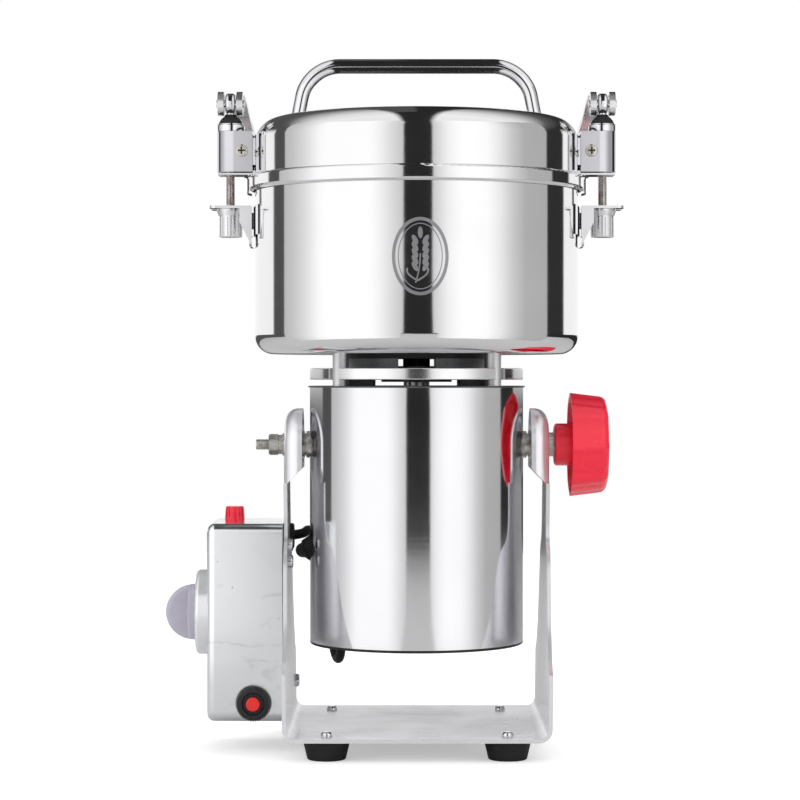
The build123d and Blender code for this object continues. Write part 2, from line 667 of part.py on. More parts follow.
# ---------------------------------------------------------------- motor lead
def lead_radii():
    """Radius at each corner of the route: as large as its two runs allow."""
    points = [Vector(*point) for point in LEAD_ROUTE]
    radii = []
    for before, corner, after in zip(points, points[1:], points[2:]):
        turn = (corner - before).get_angle(after - corner)
        run = min((corner - before).length, (after - corner).length)
        radii.append(0.45 * run / tan(radians(turn) / 2))
    return radii


def lead_path():
    return FilletPolyline(*LEAD_ROUTE, radius=lead_radii())


def lead_tube(radius):
    path = lead_path()
    return sweep(Plane(origin=path @ 0, z_dir=path % 0) * Circle(radius), path=path)


def motor_lead():
    lead = lead_tube(LEAD_R)
    length = lead_path().length
    print("motor_lead length", round(length, 1), "radii", [round(radius, 1) for radius in lead_radii()])
    print("motor_lead volume ratio", round(lead.volume / (pi * LEAD_R**2 * length), 3))
    return lead


def motor_lead_boot():
    """Flared rubber boot on the sleeve's left side, with a nose that the lead goes into."""
    tip = Vector(*LEAD_ROUTE[-1])
    along = (tip - Vector(*LEAD_ROUTE[-2])).normalized()
    nose_r = LEAD_R + BOOT_NOSE_WALL
    nose = Plane(origin=tip, z_dir=along) * Cylinder(nose_r, BOOT_NOSE_LENGTH, align=UPWARD)
    skirt = Rot(0, -90, 0) * Cone(BOOT_R, nose_r, BOOT_DEPTH, align=UPWARD)
    skirt = Pos(-MOTOR_R + 0.5, tip.Y - 3.0, tip.Z + 1.5) * skirt
    return nose + skirt - rod(MOTOR_R + 0.01, tip.Z - 20, tip.Z + 20) - lead_tube(LEAD_R)


# ---------------------------------------------------------------- motor
def motor_housing():
    """Thin polished sleeve, with holes for the pivot bosses' fixings."""
    sleeve = tube(MOTOR_R, HOUSING_INSIDE, MOTOR_BOTTOM, MOTOR_TOP)
    return sleeve - rod(STUD_R + FIT, -MOTOR_R - 1, -HOUSING_INSIDE + 8, "X", (0, PIVOT_Z))


def motor_bottom_cap():
    """Plastic end cap with a bearing pocket, cooling slots and two legs under the brush gear."""
    face = MOTOR_BOTTOM - BOTTOM_LIP
    lip = fillet(rod(MOTOR_R, face, MOTOR_BOTTOM).edges().sort_by(Axis.Z)[0], 1.0)
    plug = rod(HOUSING_INSIDE - FIT, MOTOR_BOTTOM - 0.5, MOTOR_BOTTOM + CAP_PLUG)
    hollow = rod(HOUSING_INSIDE - FIT - 2.5, face + 2.5, MOTOR_BOTTOM + CAP_PLUG + 1)
    cap = lip + plug - hollow
    pocket = rod(BEARING_R + 3, face + 1, LOWER_BEARING_Z + BEARING_WIDTH)
    cap = cap + pocket - rod(BEARING_R + 0.01, LOWER_BEARING_Z, LOWER_BEARING_Z + BEARING_WIDTH + 1)
    cap = cap - rod(SHAFT_R + 2, face - 1, LOWER_BEARING_Z + 1)
    slots = [
        Rot(0, 0, 30 * turn) * block((26, 48), (-2, 2), (face - 1, face + 4)) for turn in range(12)
    ]
    cap = cap - slots
    legs = [
        block((-7, 7), (side * (BEARING_R + 8), side * (BEARING_R + 14)), (face + 1, holder_bottom()))
        for side in (-1, 1)
    ]
    return cap + legs


def motor_top_cap():
    """Cast end shield: lip on the sleeve, and four lugs that carry the adaptor plate."""
    lip = fillet(rod(TOP_LIP_R, MOTOR_TOP, MOTOR_TOP + TOP_LIP_H).edges().sort_by(Axis.Z)[-1], 0.4)
    plug = rod(HOUSING_INSIDE - FIT, MOTOR_TOP - CAP_PLUG, MOTOR_TOP + 0.5)
    cap = lip + plug - rod(HOUSING_INSIDE - FIT - 3, MOTOR_TOP - CAP_PLUG - 1, MOTOR_TOP - 1.5)
    cap = cap - rod(COLLAR_R + LOOSE, MOTOR_TOP - CAP_PLUG - 1, MOTOR_TOP + TOP_LIP_H + 1)
    long, wide = LUG[0] / 2, LUG[1] / 2
    lug = block((-long, long), (-wide, wide), (MOTOR_TOP + 1, PLATE_BOTTOM))
    lug = fillet(lug.edges().filter_by(Axis.Z), 2)
    lugs = [Pos(x, y, 0) * lug for x, y in corners(LUG_X, LUG_Y)]
    vent = block(VENT_SPAN, (-VENT_HALF, VENT_HALF), (MOTOR_TOP - CAP_PLUG - 1, MOTOR_TOP + TOP_LIP_H + 1))
    vents = [Rot(0, 0, 45 * turn) * vent for turn in range(8)]
    return cap + lugs - vents


def stator_core():
    """Laminated field ring with two poles, carried in the sleeve by two ribs."""
    yoke_in = STATOR_R - STATOR_YOKE
    ring = tube(STATOR_R, yoke_in, STATOR_BOTTOM, STATOR_TOP)
    poles = [
        block(
            (side * (BORE_R - 2), side * (yoke_in + 2)), (-POLE_HALF, POLE_HALF), (STATOR_BOTTOM, STATOR_TOP)
        )
        for side in (-1, 1)
    ]
    ribs = [
        block((-RIB_HALF, RIB_HALF), (side * (STATOR_R - 2), side * MOTOR_R), (STATOR_BOTTOM, STATOR_TOP))
        for side in (-1, 1)
    ]
    core = (ring + poles + ribs) & rod(HOUSING_INSIDE - FIT, STATOR_BOTTOM, STATOR_TOP)
    return core - rod(BORE_R, STATOR_BOTTOM - 1, STATOR_TOP + 1)


def stator_winding(side):
    """Field coil: a loop around the neck of one pole."""
    low, high = STATOR_BOTTOM - COIL_END, STATOR_TOP + COIL_END
    loop = block((side * (BORE_R + 0.2), side * 50), (-28, 28), (low, high))
    window = block(
        (0, side * 60), (-POLE_HALF - FIT, POLE_HALF + FIT), (STATOR_BOTTOM - FIT, STATOR_TOP + FIT)
    )
    loop = (loop - window) & rod(STATOR_R - STATOR_YOKE - FIT, low, high)
    loop = loop - rod(BORE_R + 0.3, low - 1, high + 1)
    return loop & block((side * 8, side * 60), (-60, 60), (low, high))


def holder_bottom():
    return COMMUTATOR_BOTTOM + COMMUTATOR_HEIGHT / 2 - BRUSH[0] / 2 - HOLDER_WALL


def brush_holder(side):
    """Square brass tube along Y, from near the commutator to the sleeve."""
    middle = COMMUTATOR_BOTTOM + COMMUTATOR_HEIGHT / 2
    half_h, half_w = BRUSH[0] / 2 + HOLDER_WALL, BRUSH[2] / 2 + HOLDER_WALL
    outer_end = sqrt((HOUSING_INSIDE - FIT) ** 2 - half_w**2)
    y = sorted((side * (COMMUTATOR_R + 3), side * outer_end))
    case = block((-half_w, half_w), y, (middle - half_h, middle + half_h))
    inside = BRUSH[2] / 2 + 0.05
    bore = block((-inside, inside), (y[0] - 5, y[1] - 3) if side > 0 else (y[0] + 3, y[1] + 5),
                 (middle - BRUSH[0] / 2 - 0.05, middle + BRUSH[0] / 2 + 0.05))
    return case - bore


def carbon_brush(side):
    middle = COMMUTATOR_BOTTOM + COMMUTATOR_HEIGHT / 2
    near = COMMUTATOR_R + 0.1
    y = sorted((side * near, side * (near + BRUSH[1])))
    brush = block((-BRUSH[2] / 2, BRUSH[2] / 2), y, (middle - BRUSH[0] / 2, middle + BRUSH[0] / 2))
    return brush - rod(COMMUTATOR_R + 0.1, COMMUTATOR_BOTTOM, COMMUTATOR_BOTTOM + COMMUTATOR_HEIGHT)


def build_motor():
    save("motor_housing", motor_housing())
    save("motor_bottom_cap", motor_bottom_cap())
    save("motor_top_cap", motor_top_cap())
    save("stator_core", stator_core())
    save("stator_windings", stator_winding(-1), stator_winding(1))
    save("brush_holders", brush_holder(-1), brush_holder(1))
    save("carbon_brushes", carbon_brush(-1), carbon_brush(1))
    save("shaft_bearings", *[
        tube(BEARING_R, SHAFT_R + RUN, low, low + BEARING_WIDTH) for low in (LOWER_BEARING_Z, UPPER_BEARING_Z)
    ])
    save("motor_lead_boot", motor_lead_boot())
    save("motor_lead", motor_lead())


# ---------------------------------------------------------------- rotor
def motor_shaft():
    shaft = rod(SHAFT_R, LOWER_BEARING_Z + 0.5, BLADE_NUT_Z + BLADE_NUT_H + 2)
    collar = rod(COLLAR_R, MOTOR_TOP - 3, UPPER_BEARING_Z - SEAT)
    return top_edge(shaft, 1.0) + collar


def armature():
    """Slotted iron core with its wound ends."""
    core = tube(ARMATURE_R, SHAFT_R, STATOR_BOTTOM, STATOR_TOP)
    slot = block((ARMATURE_R - 5, ARMATURE_R + 2), (-1.2, 1.2), (STATOR_BOTTOM - 1, STATOR_TOP + 1))
    core = core - [Rot(0, 0, turn * 360 / ARMATURE_SLOTS) * slot for turn in range(ARMATURE_SLOTS)]
    ends = [
        tube(ARMATURE_R - 6, SHAFT_R, low, low + COIL_END)
        for low in (STATOR_BOTTOM - COIL_END, STATOR_TOP)
    ]
    return core + ends


def commutator():
    top = COMMUTATOR_BOTTOM + COMMUTATOR_HEIGHT
    drum = tube(COMMUTATOR_R, SHAFT_R, COMMUTATOR_BOTTOM, top)
    cut = block((COMMUTATOR_R - 1, COMMUTATOR_R + 1), (-0.3, 0.3), (COMMUTATOR_BOTTOM - 1, top - 2))
    return drum - [Rot(0, 0, turn * 360 / COMMUTATOR_BARS) * cut for turn in range(COMMUTATOR_BARS)]


def cooling_fan():
    """Back plate with straight radial vanes on a hub."""
    fan = tube(FAN_R, SHAFT_R, FAN_BOTTOM, FAN_BOTTOM + 2)
    fan = fan + tube(FAN_HUB_R, SHAFT_R, FAN_BOTTOM, FAN_BOTTOM + FAN_HEIGHT)
    vane = block((11, FAN_R - 1), (-1, 1), (FAN_BOTTOM + 1, FAN_BOTTOM + FAN_HEIGHT))
    return fan + [Rot(0, 0, turn * 360 / FAN_BLADES) * vane for turn in range(FAN_BLADES)]


def blade(low, rise, turn):
    """Two-armed milling blade with bevelled edges; the tips of a lower blade turn up."""
    half, bend = BLADE_HALF - 1, BLADE_HALF * 0.55
    slope = (half - bend, rise)
    side = [
        (-half, low + slope[1]), (-bend, low), (bend, low), (half, low + slope[1]),
        (half, low + slope[1] + BLADE_THICK), (bend, low + BLADE_THICK),
        (-bend, low + BLADE_THICK), (-half, low + slope[1] + BLADE_THICK),
    ]
    bar = extrude(outline(side, Plane.XZ), amount=BLADE_WIDTH / 2, both=True)
    plan = make_face(Polyline(
        (-half, -BLADE_WIDTH / 2), (half * 0.2, -BLADE_WIDTH / 2), (half, 0), (half, BLADE_WIDTH / 2),
        (-half * 0.2, BLADE_WIDTH / 2), (-half, 0), close=True,
    ))
    bar = bar & extrude(Pos(0, 0, low - 1) * plan, amount=rise + BLADE_THICK + 2)
    return Rot(0, 0, turn) * (bar - rod(SHAFT_R, low - 1, low + BLADE_THICK + 1))


def blade_nut():
    nut = extrude(Pos(0, 0, BLADE_NUT_Z) * RegularPolygon(BLADE_NUT_R, 6), amount=BLADE_NUT_H)
    return nut - rod(SHAFT_R, BLADE_NUT_Z - 1, BLADE_NUT_Z + BLADE_NUT_H + 1)


def build_rotor():
    save("motor_shaft", motor_shaft())
    save("armature", armature())
    save("commutator", commutator())
    save("cooling_fan", cooling_fan())
    save("lower_blade", blade(LOWER_BLADE_Z, BLADE_RISE, 20))
    save("upper_blade", blade(UPPER_BLADE_Z, 0, 110))
    save("blade_spacers",
         tube(SPACER_R, SHAFT_R, SEAL_TOP + SEAT, LOWER_BLADE_Z),
         tube(SPACER_R, SHAFT_R, LOWER_BLADE_Z + BLADE_THICK, UPPER_BLADE_Z))
    save("blade_nut", blade_nut())


# ---------------------------------------------------------------- neck and bowl
def adaptor_plate():
    """Round plate on the motor's lugs, notched at its rim for the four posts."""
    plate = rod(PLATE_R, PLATE_BOTTOM, PLATE_TOP)
    plate = fillet(plate.edges(), 0.6)
    across = STANDOFF_R + FIT
    notch = block((0, PLATE_R), (-across, across), (PLATE_BOTTOM - 1, PLATE_TOP + 1))
    for x, y in corners(STANDOFF_X, STANDOFF_Y):
        plate = plate - rod(across, PLATE_BOTTOM - 1, PLATE_TOP + 1, "Z", (x, y))
        plate = plate - Pos(x, y, 0) * Rot(0, 0, degrees(atan2(y, x))) * notch
    return plate - rod(HUB_BOSS_R + FIT, PLATE_BOTTOM - 1, PLATE_TOP + 1)


def bearing_hub():
    """Bearing boss through the plate, with a cast lug on each side that carries the bowl."""
    bearing_top = UPPER_BEARING_Z + BEARING_WIDTH
    boss = rod(HUB_BOSS_R, PLATE_BOTTOM - HUB_BOSS_DROP, bearing_top + 0.4)
    disc = rod(HUB_R, PLATE_TOP, HUB_TOP)
    lugs = disc - block((-HUB_GAP, HUB_GAP), (-HUB_R - 1, HUB_R + 1), (PLATE_TOP - 1, HUB_TOP + 1))
    hub = boss + lugs - rod(BEARING_R + 0.01, UPPER_BEARING_Z, bearing_top)
    hub = hub - rod(SEAL_NECK_R + LOOSE, bearing_top - 1, bearing_top + 1)
    return hub - rod(COLLAR_R + LOOSE, PLATE_BOTTOM - HUB_BOSS_DROP - 1, UPPER_BEARING_Z + 1)


def bowl():
    """Deep-drawn bowl with a flat floor."""
    outer = bottom_edge(rod(BOWL_R, BOWL_BOTTOM, BOWL_RIM), BOWL_CORNER)
    inner = bottom_edge(rod(BOWL_R - BOWL_WALL, BOWL_FLOOR_Z, BOWL_RIM + 20), BOWL_CORNER - BOWL_WALL)
    holes = [
        rod(BOWL_SCREW_R + FIT, BOWL_BOTTOM - 1, BOWL_FLOOR_Z + 1, "Z", at)
        for at in corners(STANDOFF_X, STANDOFF_Y)
    ]
    return outer - inner - rod(SEAL_R + FIT, BOWL_BOTTOM - 1, BOWL_FLOOR_Z + 1) - holes


def bowl_screw(x, y):
    head = top_edge(rod(BOWL_HEAD_R, BOWL_FLOOR_Z, BOWL_FLOOR_Z + BOWL_HEAD_H, "Z", (x, y)), 1.5)
    return head + rod(BOWL_SCREW_R, BOWL_BOTTOM - 9, BOWL_FLOOR_Z + 0.5, "Z", (x, y))


def bowl_standoff(x, y):
    post = rod(STANDOFF_R, MOTOR_TOP + TOP_LIP_H, BOWL_BOTTOM, "Z", (x, y))
    return post - rod(BOWL_SCREW_R + 0.02, BOWL_BOTTOM - 10, BOWL_BOTTOM + 1, "Z", (x, y))


def shaft_seal():
    """Rubber seal in the bowl's floor, with a sleeve around the shaft down to the bearing."""
    bearing_top = UPPER_BEARING_Z + BEARING_WIDTH
    seal = tube(SEAL_R, SHAFT_R + RUN, HUB_TOP, BOWL_FLOOR_Z + 0.5)
    sleeve = tube(SEAL_NECK_R, SHAFT_R + RUN, bearing_top, HUB_TOP + 0.5)
    return seal + sleeve + tube(SEAL_FLANGE_R, SHAFT_R + RUN, BOWL_FLOOR_Z, SEAL_TOP)


def wall_strap(radius, low, high):
    """Curved strip that lies on a round wall, centred on the X axis."""
    ring = tube(radius + STRAP, radius + 0.01, low, high)
    reach = 2 * radius
    spread = reach * tan(radians(STRAP_HALF_ANGLE))
    wedge = make_face(Polyline((0, 0), (reach, -spread), (reach, spread), close=True))
    return ring & extrude(Pos(0, 0, low) * wedge, amount=high - low)


def bowl_bracket():
    """Catch on the bowl: a slotted plate on a leaf, with two gussets, on a curved strap."""
    half = CATCH_HALF
    plate = block((CATCH_LEAF_X, CATCH_OUT), (-half, half), (CATCH_Z, CATCH_Z + CATCH_SHEET))
    plate = fillet(plate.edges().filter_by(Axis.Z).group_by(Axis.X)[-1], 3)
    plate = plate - rod(CATCH_SLOT_R, CATCH_Z - 1, CATCH_Z + 3, "Z", (CLAMP_X, 0))
    plate = plate - block((CLAMP_X, CATCH_OUT + 1), (-CATCH_SLOT_R, CATCH_SLOT_R), (CATCH_Z - 1, CATCH_Z + 3))
    leaf_x = CATCH_LEAF_X
    leaf = block((leaf_x, leaf_x + CATCH_SHEET), (-half, half), (CATCH_LEAF_BOTTOM, CATCH_Z + 0.5))
    leaf = fillet(leaf.edges().filter_by(Axis.X).group_by(Axis.Z)[0], 3)
    edge_x = leaf_x + GUSSET_REACH
    gusset_foot = CATCH_Z - GUSSET_HEIGHT
    gusset = outline(
        [(leaf_x + 0.5, gusset_foot), (leaf_x + 0.5, CATCH_Z + 0.5), (edge_x, CATCH_Z + 0.5),
         (edge_x, CATCH_Z - GUSSET_EDGE), (leaf_x + CATCH_SHEET, gusset_foot)],
        Plane.XZ,
    )
    gussets = [
        Pos(0, y, 0) * extrude(gusset, amount=CATCH_SHEET / 2, both=True)
        for y in (half - CATCH_SHEET / 2, -half + CATCH_SHEET / 2)
    ]
    bridge = block((BOWL_R + STRAP / 2, CATCH_LEAF_X + 1), (-3, 3), (STRAP_BOTTOM + 4, CATCH_Z - 2))
    catch = plate + leaf + gussets + bridge
    strap = wall_strap(BOWL_R, STRAP_BOTTOM, CATCH_Z + CATCH_SHEET)
    return strap + (catch - rod(BOWL_R + 0.02, BOWL_BOTTOM, BOWL_RIM))


def build_bowl():
    save("adaptor_plate", adaptor_plate())
    save("bearing_hub", bearing_hub())
    save("hub_gasket", tube(HUB_R, SEAL_R + FIT, HUB_TOP, BOWL_BOTTOM))
    save("bowl_standoffs", *[bowl_standoff(x, y) for x, y in corners(STANDOFF_X, STANDOFF_Y)])
    save("bowl", bowl())
    save("bowl_screws", *[bowl_screw(x, y) for x, y in corners(STANDOFF_X, STANDOFF_Y)])
    save("shaft_seal", shaft_seal())
    save("bowl_brackets", *both_sides(bowl_bracket()))


# ---------------------------------------------------------------- pivots
def pivot_boss(side, bore):
    """Round spacer between the sleeve and the upright, hollowed to sit on the sleeve."""
    boss = rod(BOSS_R, MOTOR_R - 1.5, INNER_HEAD - SEAT, "X", (0, PIVOT_Z))
    boss = boss - rod(MOTOR_R + 0.01, PIVOT_Z - 20, PIVOT_Z + 20)
    boss = boss - rod(bore, MOTOR_R - 3, HEAD_HALF_WIDTH, "X", (0, PIVOT_Z))
    for step in range(1, BOSS_GROOVES + 1):
        x = INNER_HEAD - step * GROOVE_STEP
        boss = boss - tube(BOSS_R + 1, BOSS_R - GROOVE_DEPTH, x - 0.5, x + 0.5, "X", (0, PIVOT_Z))
    return boss if side > 0 else mirror(boss, about=Plane.YZ)


def pivot_stud():
    """Stud through the left upright, with a head inside the sleeve."""
    at = (0, PIVOT_Z)
    head = rod(STUD_HEAD_R, -HOUSING_INSIDE + 0.6, -HOUSING_INSIDE + 4, "X", at)
    stud = rod(STUD_R, -STUD_END, -HOUSING_INSIDE + 2, "X", at)
    return head + fillet(stud.edges().group_by(Axis.X)[0], 0.8)


def pivot_washers():
    """Flat washer and spring washer outside the left upright."""
    face = -HEAD_HALF_WIDTH - FIT
    flat = tube(WASHER_R, STUD_R, face - WASHER_H * 0.4, face, "X", (0, PIVOT_Z))
    spring = tube(WASHER_R - 0.8, STUD_R, face - WASHER_H, face - WASHER_H * 0.4, "X", (0, PIVOT_Z))
    return flat, spring


def pivot_nut():
    outer = -HEAD_HALF_WIDTH - FIT - WASHER_H
    profile = RegularPolygon(PIVOT_NUT_FLATS / 2, 6, major_radius=False)
    nut = Pos(outer - PIVOT_NUT_H, 0, PIVOT_Z) * Rot(0, 90, 0) * extrude(profile, amount=PIVOT_NUT_H)
    crown = rod(PIVOT_NUT_FLATS / 2 * 1.13, outer - PIVOT_NUT_H, outer, "X", (0, PIVOT_Z))
    nut = nut & chamfer(crown.edges().filter_by(GeomType.CIRCLE), 0.7)
    return nut - rod(STUD_R, outer - PIVOT_NUT_H - 1, outer + 1, "X", (0, PIVOT_Z))


def locking_knob():
    """Star handwheel: a shallow-lobed cup that tapers outwards, on a round hub."""
    start = HEAD_HALF_WIDTH + FIT + KNOB_WASHER_H + FIT
    head_in = start + KNOB_HUB_H - KNOB_OVERLAP
    head_out = head_in + KNOB_HEIGHT
    lobes = Circle(KNOB_R - KNOB_VALLEY)
    for lobe in PolarLocations(KNOB_R - KNOB_LOBE_R, KNOB_LOBES):
        lobes = lobes + lobe * Circle(KNOB_LOBE_R)
    lobes = fillet(lobes.vertices(), KNOB_VALLEY_R)
    head = extrude(lobes, amount=KNOB_HEIGHT, taper=KNOB_TAPER)
    head = fillet(head.edges().group_by(Axis.Z)[-1], KNOB_EDGE)
    depth = KNOB_HEIGHT - KNOB_SHELL
    mouth_r = KNOB_R - KNOB_VALLEY - KNOB_LIP
    hollow = cone(mouth_r, mouth_r - depth * tan(radians(KNOB_TAPER)) - 1, 0, depth)
    head = Pos(head_in, 0, PIVOT_Z) * Rot(0, 90, 0) * (head - hollow)
    hub = rod(KNOB_HUB_R, start, head_out - KNOB_SHELL, "X", (0, PIVOT_Z))
    hub = fillet(hub.edges().filter_by(GeomType.CIRCLE).group_by(Axis.X)[0], 1.5)
    bore = rod(KNOB_STUD_R, start - 1, head_out - KNOB_SHELL - 4, "X", (0, PIVOT_Z))
    return head + hub - bore


def locking_stud():
    start = HEAD_HALF_WIDTH + FIT + KNOB_WASHER_H + FIT
    end = start + KNOB_HUB_H - KNOB_OVERLAP + KNOB_HEIGHT - KNOB_SHELL - 4.5
    return rod(KNOB_STUD_R, INNER_HEAD - SEAT - STUD_DEPTH, end, "X", (0, PIVOT_Z))


def build_pivots():
    face = HEAD_HALF_WIDTH + FIT
    save("pivot_bosses", pivot_boss(-1, STUD_R), pivot_boss(1, KNOB_STUD_R + RUN))
    save("pivot_stud", pivot_stud())
    knob_washer = tube(KNOB_WASHER_R, KNOB_STUD_R + RUN, face, face + KNOB_WASHER_H, "X", (0, PIVOT_Z))
    save("pivot_nut_and_washers", pivot_nut(), *pivot_washers(), knob_washer)
    save("locking_knob", locking_knob())
    save("locking_stud", locking_stud())


# ---------------------------------------------------------------- lid
def lid_shell():
    """Pressed lid: rounded top, straight wall, shoulder, skirt over the bowl's rim and a turned-in hem."""
    inside, skirt_in = LID_R - LID_WALL, SKIRT_R - LID_WALL
    top = top_edge(rod(LID_R, SHOULDER_Z - LID_WALL, LID_TOP), LID_EDGE)
    skirt = top_edge(rod(SKIRT_R, SKIRT_BOTTOM, SHOULDER_Z), 1.6)
    skirt = bottom_edge(skirt, 2.0)
    hollow = top_edge(rod(inside, SKIRT_BOTTOM - 1, LID_TOP - LID_WALL), LID_EDGE - LID_WALL)
    rim_hollow = rod(skirt_in, SKIRT_BOTTOM + LID_WALL, SHOULDER_Z - LID_WALL)
    mouth = rod(SKIRT_R - LID_WALL - HEM + 0.4, SKIRT_BOTTOM - 1, SKIRT_BOTTOM + LID_WALL + 1)
    return top + skirt - hollow - rim_hollow - mouth


def lid_handle():
    """Rod bent to an arch across the lid, flattened on its sides."""
    lean = (HANDLE_FOOT_X - HANDLE_TOP_X) / HANDLE_RISE
    low = LID_TOP - 10
    foot = HANDLE_FOOT_X + lean * 10
    path = FilletPolyline(
        (-foot, 0, low), (-HANDLE_TOP_X, 0, HANDLE_TOP_Z), (HANDLE_TOP_X, 0, HANDLE_TOP_Z), (foot, 0, low),
        radius=HANDLE_CORNER,
    )
    section = Plane(origin=path @ 0, x_dir=(0, 1, 0), z_dir=path % 0) * SlotOverall(HANDLE_WIDE, HANDLE_HIGH)
    arch = sweep(section, path=path)
    return arch - block((-100, 100), (-20, 20), (LID_TOP - 30, LID_TOP))


def lid_ear():
    """Strap on the lid's wall with two lugs and a slotted tongue for one clamp."""
    strap = wall_strap(LID_R, EAR_BOTTOM, EAR_TOP)
    lug_out = CHANNEL_HALF - CHANNEL_WALL - FIT
    lug_height = (EAR_BOTTOM + 4, EAR_TOP - 1)
    lugs = [
        block((LID_R - 2, CHANNEL_SCREW_X + 4), (turn * lug_out, turn * (lug_out - 1.5)), lug_height)
        for turn in (-1, 1)
    ]
    tongue_z = SHOULDER_Z + 0.2
    tongue = block((LID_R - 2, CHANNEL_OUT - 1), (-8, 8), (tongue_z, tongue_z + 1.0))
    step = block((LID_R - 2, LID_R + 1.4), (-8, 8), (tongue_z, EAR_BOTTOM + 1))
    half = CHANNEL_SLOT / 2
    slot = block((CLAMP_X - ROD_R - LOOSE, CHANNEL_OUT), (-half, half), (tongue_z - 1, tongue_z + 2))
    rivet = rod(RIVET_R, LID_R + 0.3, LID_R + STRAP + 0.9, "X", (0, CHANNEL_SCREW_Z - 2))
    rivets = [Rot(0, 0, turn * RIVET_ANGLE) * rivet for turn in (-1, 1)]
    holes = rod(CHANNEL_SCREW_R + RUN, -20, 20, "Y", (CHANNEL_SCREW_X, CHANNEL_SCREW_Z))
    metal = [piece - rod(LID_R + 0.01, SHOULDER_Z - 5, LID_TOP) for piece in (*lugs, tongue - slot, step)]
    ear = strap + metal + rivets
    ear = ear - rod(LID_R + 0.01, SHOULDER_Z - 5, LID_TOP) - holes
    return ear


def clamp_housing():
    """Channel bent from sheet: two cheeks, a rounded outer wall with a slot, and a roof with a seat cup."""
    outer = block((CHANNEL_IN, CHANNEL_OUT), (-CHANNEL_HALF, CHANNEL_HALF), (CHANNEL_BOTTOM, CHANNEL_TOP))
    outer = fillet(outer.edges().filter_by(Axis.Z).group_by(Axis.X)[-1], CHANNEL_CORNER)
    wall = CHANNEL_WALL
    inner = block(
        (CHANNEL_IN - 1, CHANNEL_OUT - wall), (-CHANNEL_HALF + wall, CHANNEL_HALF - wall),
        (CHANNEL_BOTTOM - 1, CHANNEL_TOP - wall),
    )
    inner = fillet(inner.edges().filter_by(Axis.Z).group_by(Axis.X)[-1], CHANNEL_CORNER - wall)
    roof_slot = ROD_R + LOOSE + (DOME_CENTRE_Z - CHANNEL_TOP + wall) * tan(radians(SWING))
    slot_top = DOME_CENTRE_Z - (CHANNEL_OUT - wall - CLAMP_X - ROD_R - 1.5) / tan(radians(SWING)) + 3
    half = CHANNEL_SLOT / 2
    slot_in = CLAMP_X - ROD_R - LOOSE
    slots = [
        block((slot_in, CLAMP_X + roof_slot), (-half, half), (CHANNEL_TOP - 5, CHANNEL_TOP + 1)),
        block((CHANNEL_OUT - 5, CHANNEL_OUT + 1), (-half, half), (CHANNEL_BOTTOM - 1, slot_top)),
    ]
    hole = rod(CHANNEL_SCREW_R + RUN, -20, 20, "Y", (CHANNEL_SCREW_X, CHANNEL_SCREW_Z))
    channel = outer - inner - slots - hole
    channel = channel + tube(CUP_R, CUP_R - CUP_WALL, CHANNEL_TOP - 0.3, CUP_TOP, "Z", (CLAMP_X, 0))
    return channel


def clamp_screw():
    """Cross-recessed screw through the channel and the lugs, along Y, with a nut behind."""
    x, z = CHANNEL_SCREW_X, CHANNEL_SCREW_Z
    face = -CHANNEL_HALF
    head = rod(CHANNEL_SCREW_HEAD_R, face - 1.8, face, "Y", (x, z))
    head = fillet(head.edges().group_by(Axis.Y)[0], 1.2)
    long, wide, deep = CROSS
    depth = (face - 2, face - 1.8 + deep)
    cross = [
        block((x - long, x + long), depth, (z - wide, z + wide)),
        block((x - wide, x + wide), depth, (z - long, z + long)),
    ]
    shank = rod(CHANNEL_SCREW_R, face - 0.5, CHANNEL_HALF + 3.5, "Y", (x, z))
    nut = extrude(Plane.XZ * RegularPolygon(3.0, 6), amount=-2.4)
    nut = Pos(x, CHANNEL_HALF, z) * nut
    screw = head + shank - cross + nut
    return screw


def build_lid():
    save("lid_shell", lid_shell())
    save("lid_gasket", tube(SKIRT_R - LID_WALL - FIT, LID_R - LID_WALL - 1, BOWL_RIM, SHOULDER_Z - LID_WALL))
    save("lid_handle", lid_handle())
    save("lid_ears", *both_sides(lid_ear()))
    save("clamp_housings", *both_sides(clamp_housing()))
    save("clamp_screws", *both_sides(clamp_screw()))


# ---------------------------------------------------------------- clamps
def clamp_rod():
    """Eye bolt: ring at the top for the lever's pin, threaded shank down into the nut."""
    ring = rod(EYE_R, CLAMP_X - EYE_HALF, CLAMP_X + EYE_HALF, "X", (0, EYE_Z))
    ring = fillet(ring.edges().filter_by(GeomType.CIRCLE), 1.6)
    ring = ring - rod(PIN_R + RUN, CLAMP_X - 10, CLAMP_X + 10, "X", (0, EYE_Z))
    shank = rod(ROD_R, nut_bottom() + 3.5, EYE_Z - EYE_R + 1.2, "Z", (CLAMP_X, 0))
    return ring + shank


def clamp_dome():
    """Half ball on the rod that seats in the housing's cup, with a neck up to the eye."""
    ball = Pos(CLAMP_X, 0, DOME_CENTRE_Z) * Sphere(DOME_R)
    top = EYE_Z - EYE_R - 0.3
    dome = ball & rod(2 * DOME_R, DOME_CENTRE_Z, top, "Z", (CLAMP_X, 0))
    dome = dome + cone(DOME_NECK_R[0], DOME_NECK_R[1], DOME_CENTRE_Z + 3.2, top, (CLAMP_X, 0))
    return dome - rod(ROD_R, DOME_CENTRE_Z - 1, top + 1, "Z", (CLAMP_X, 0))


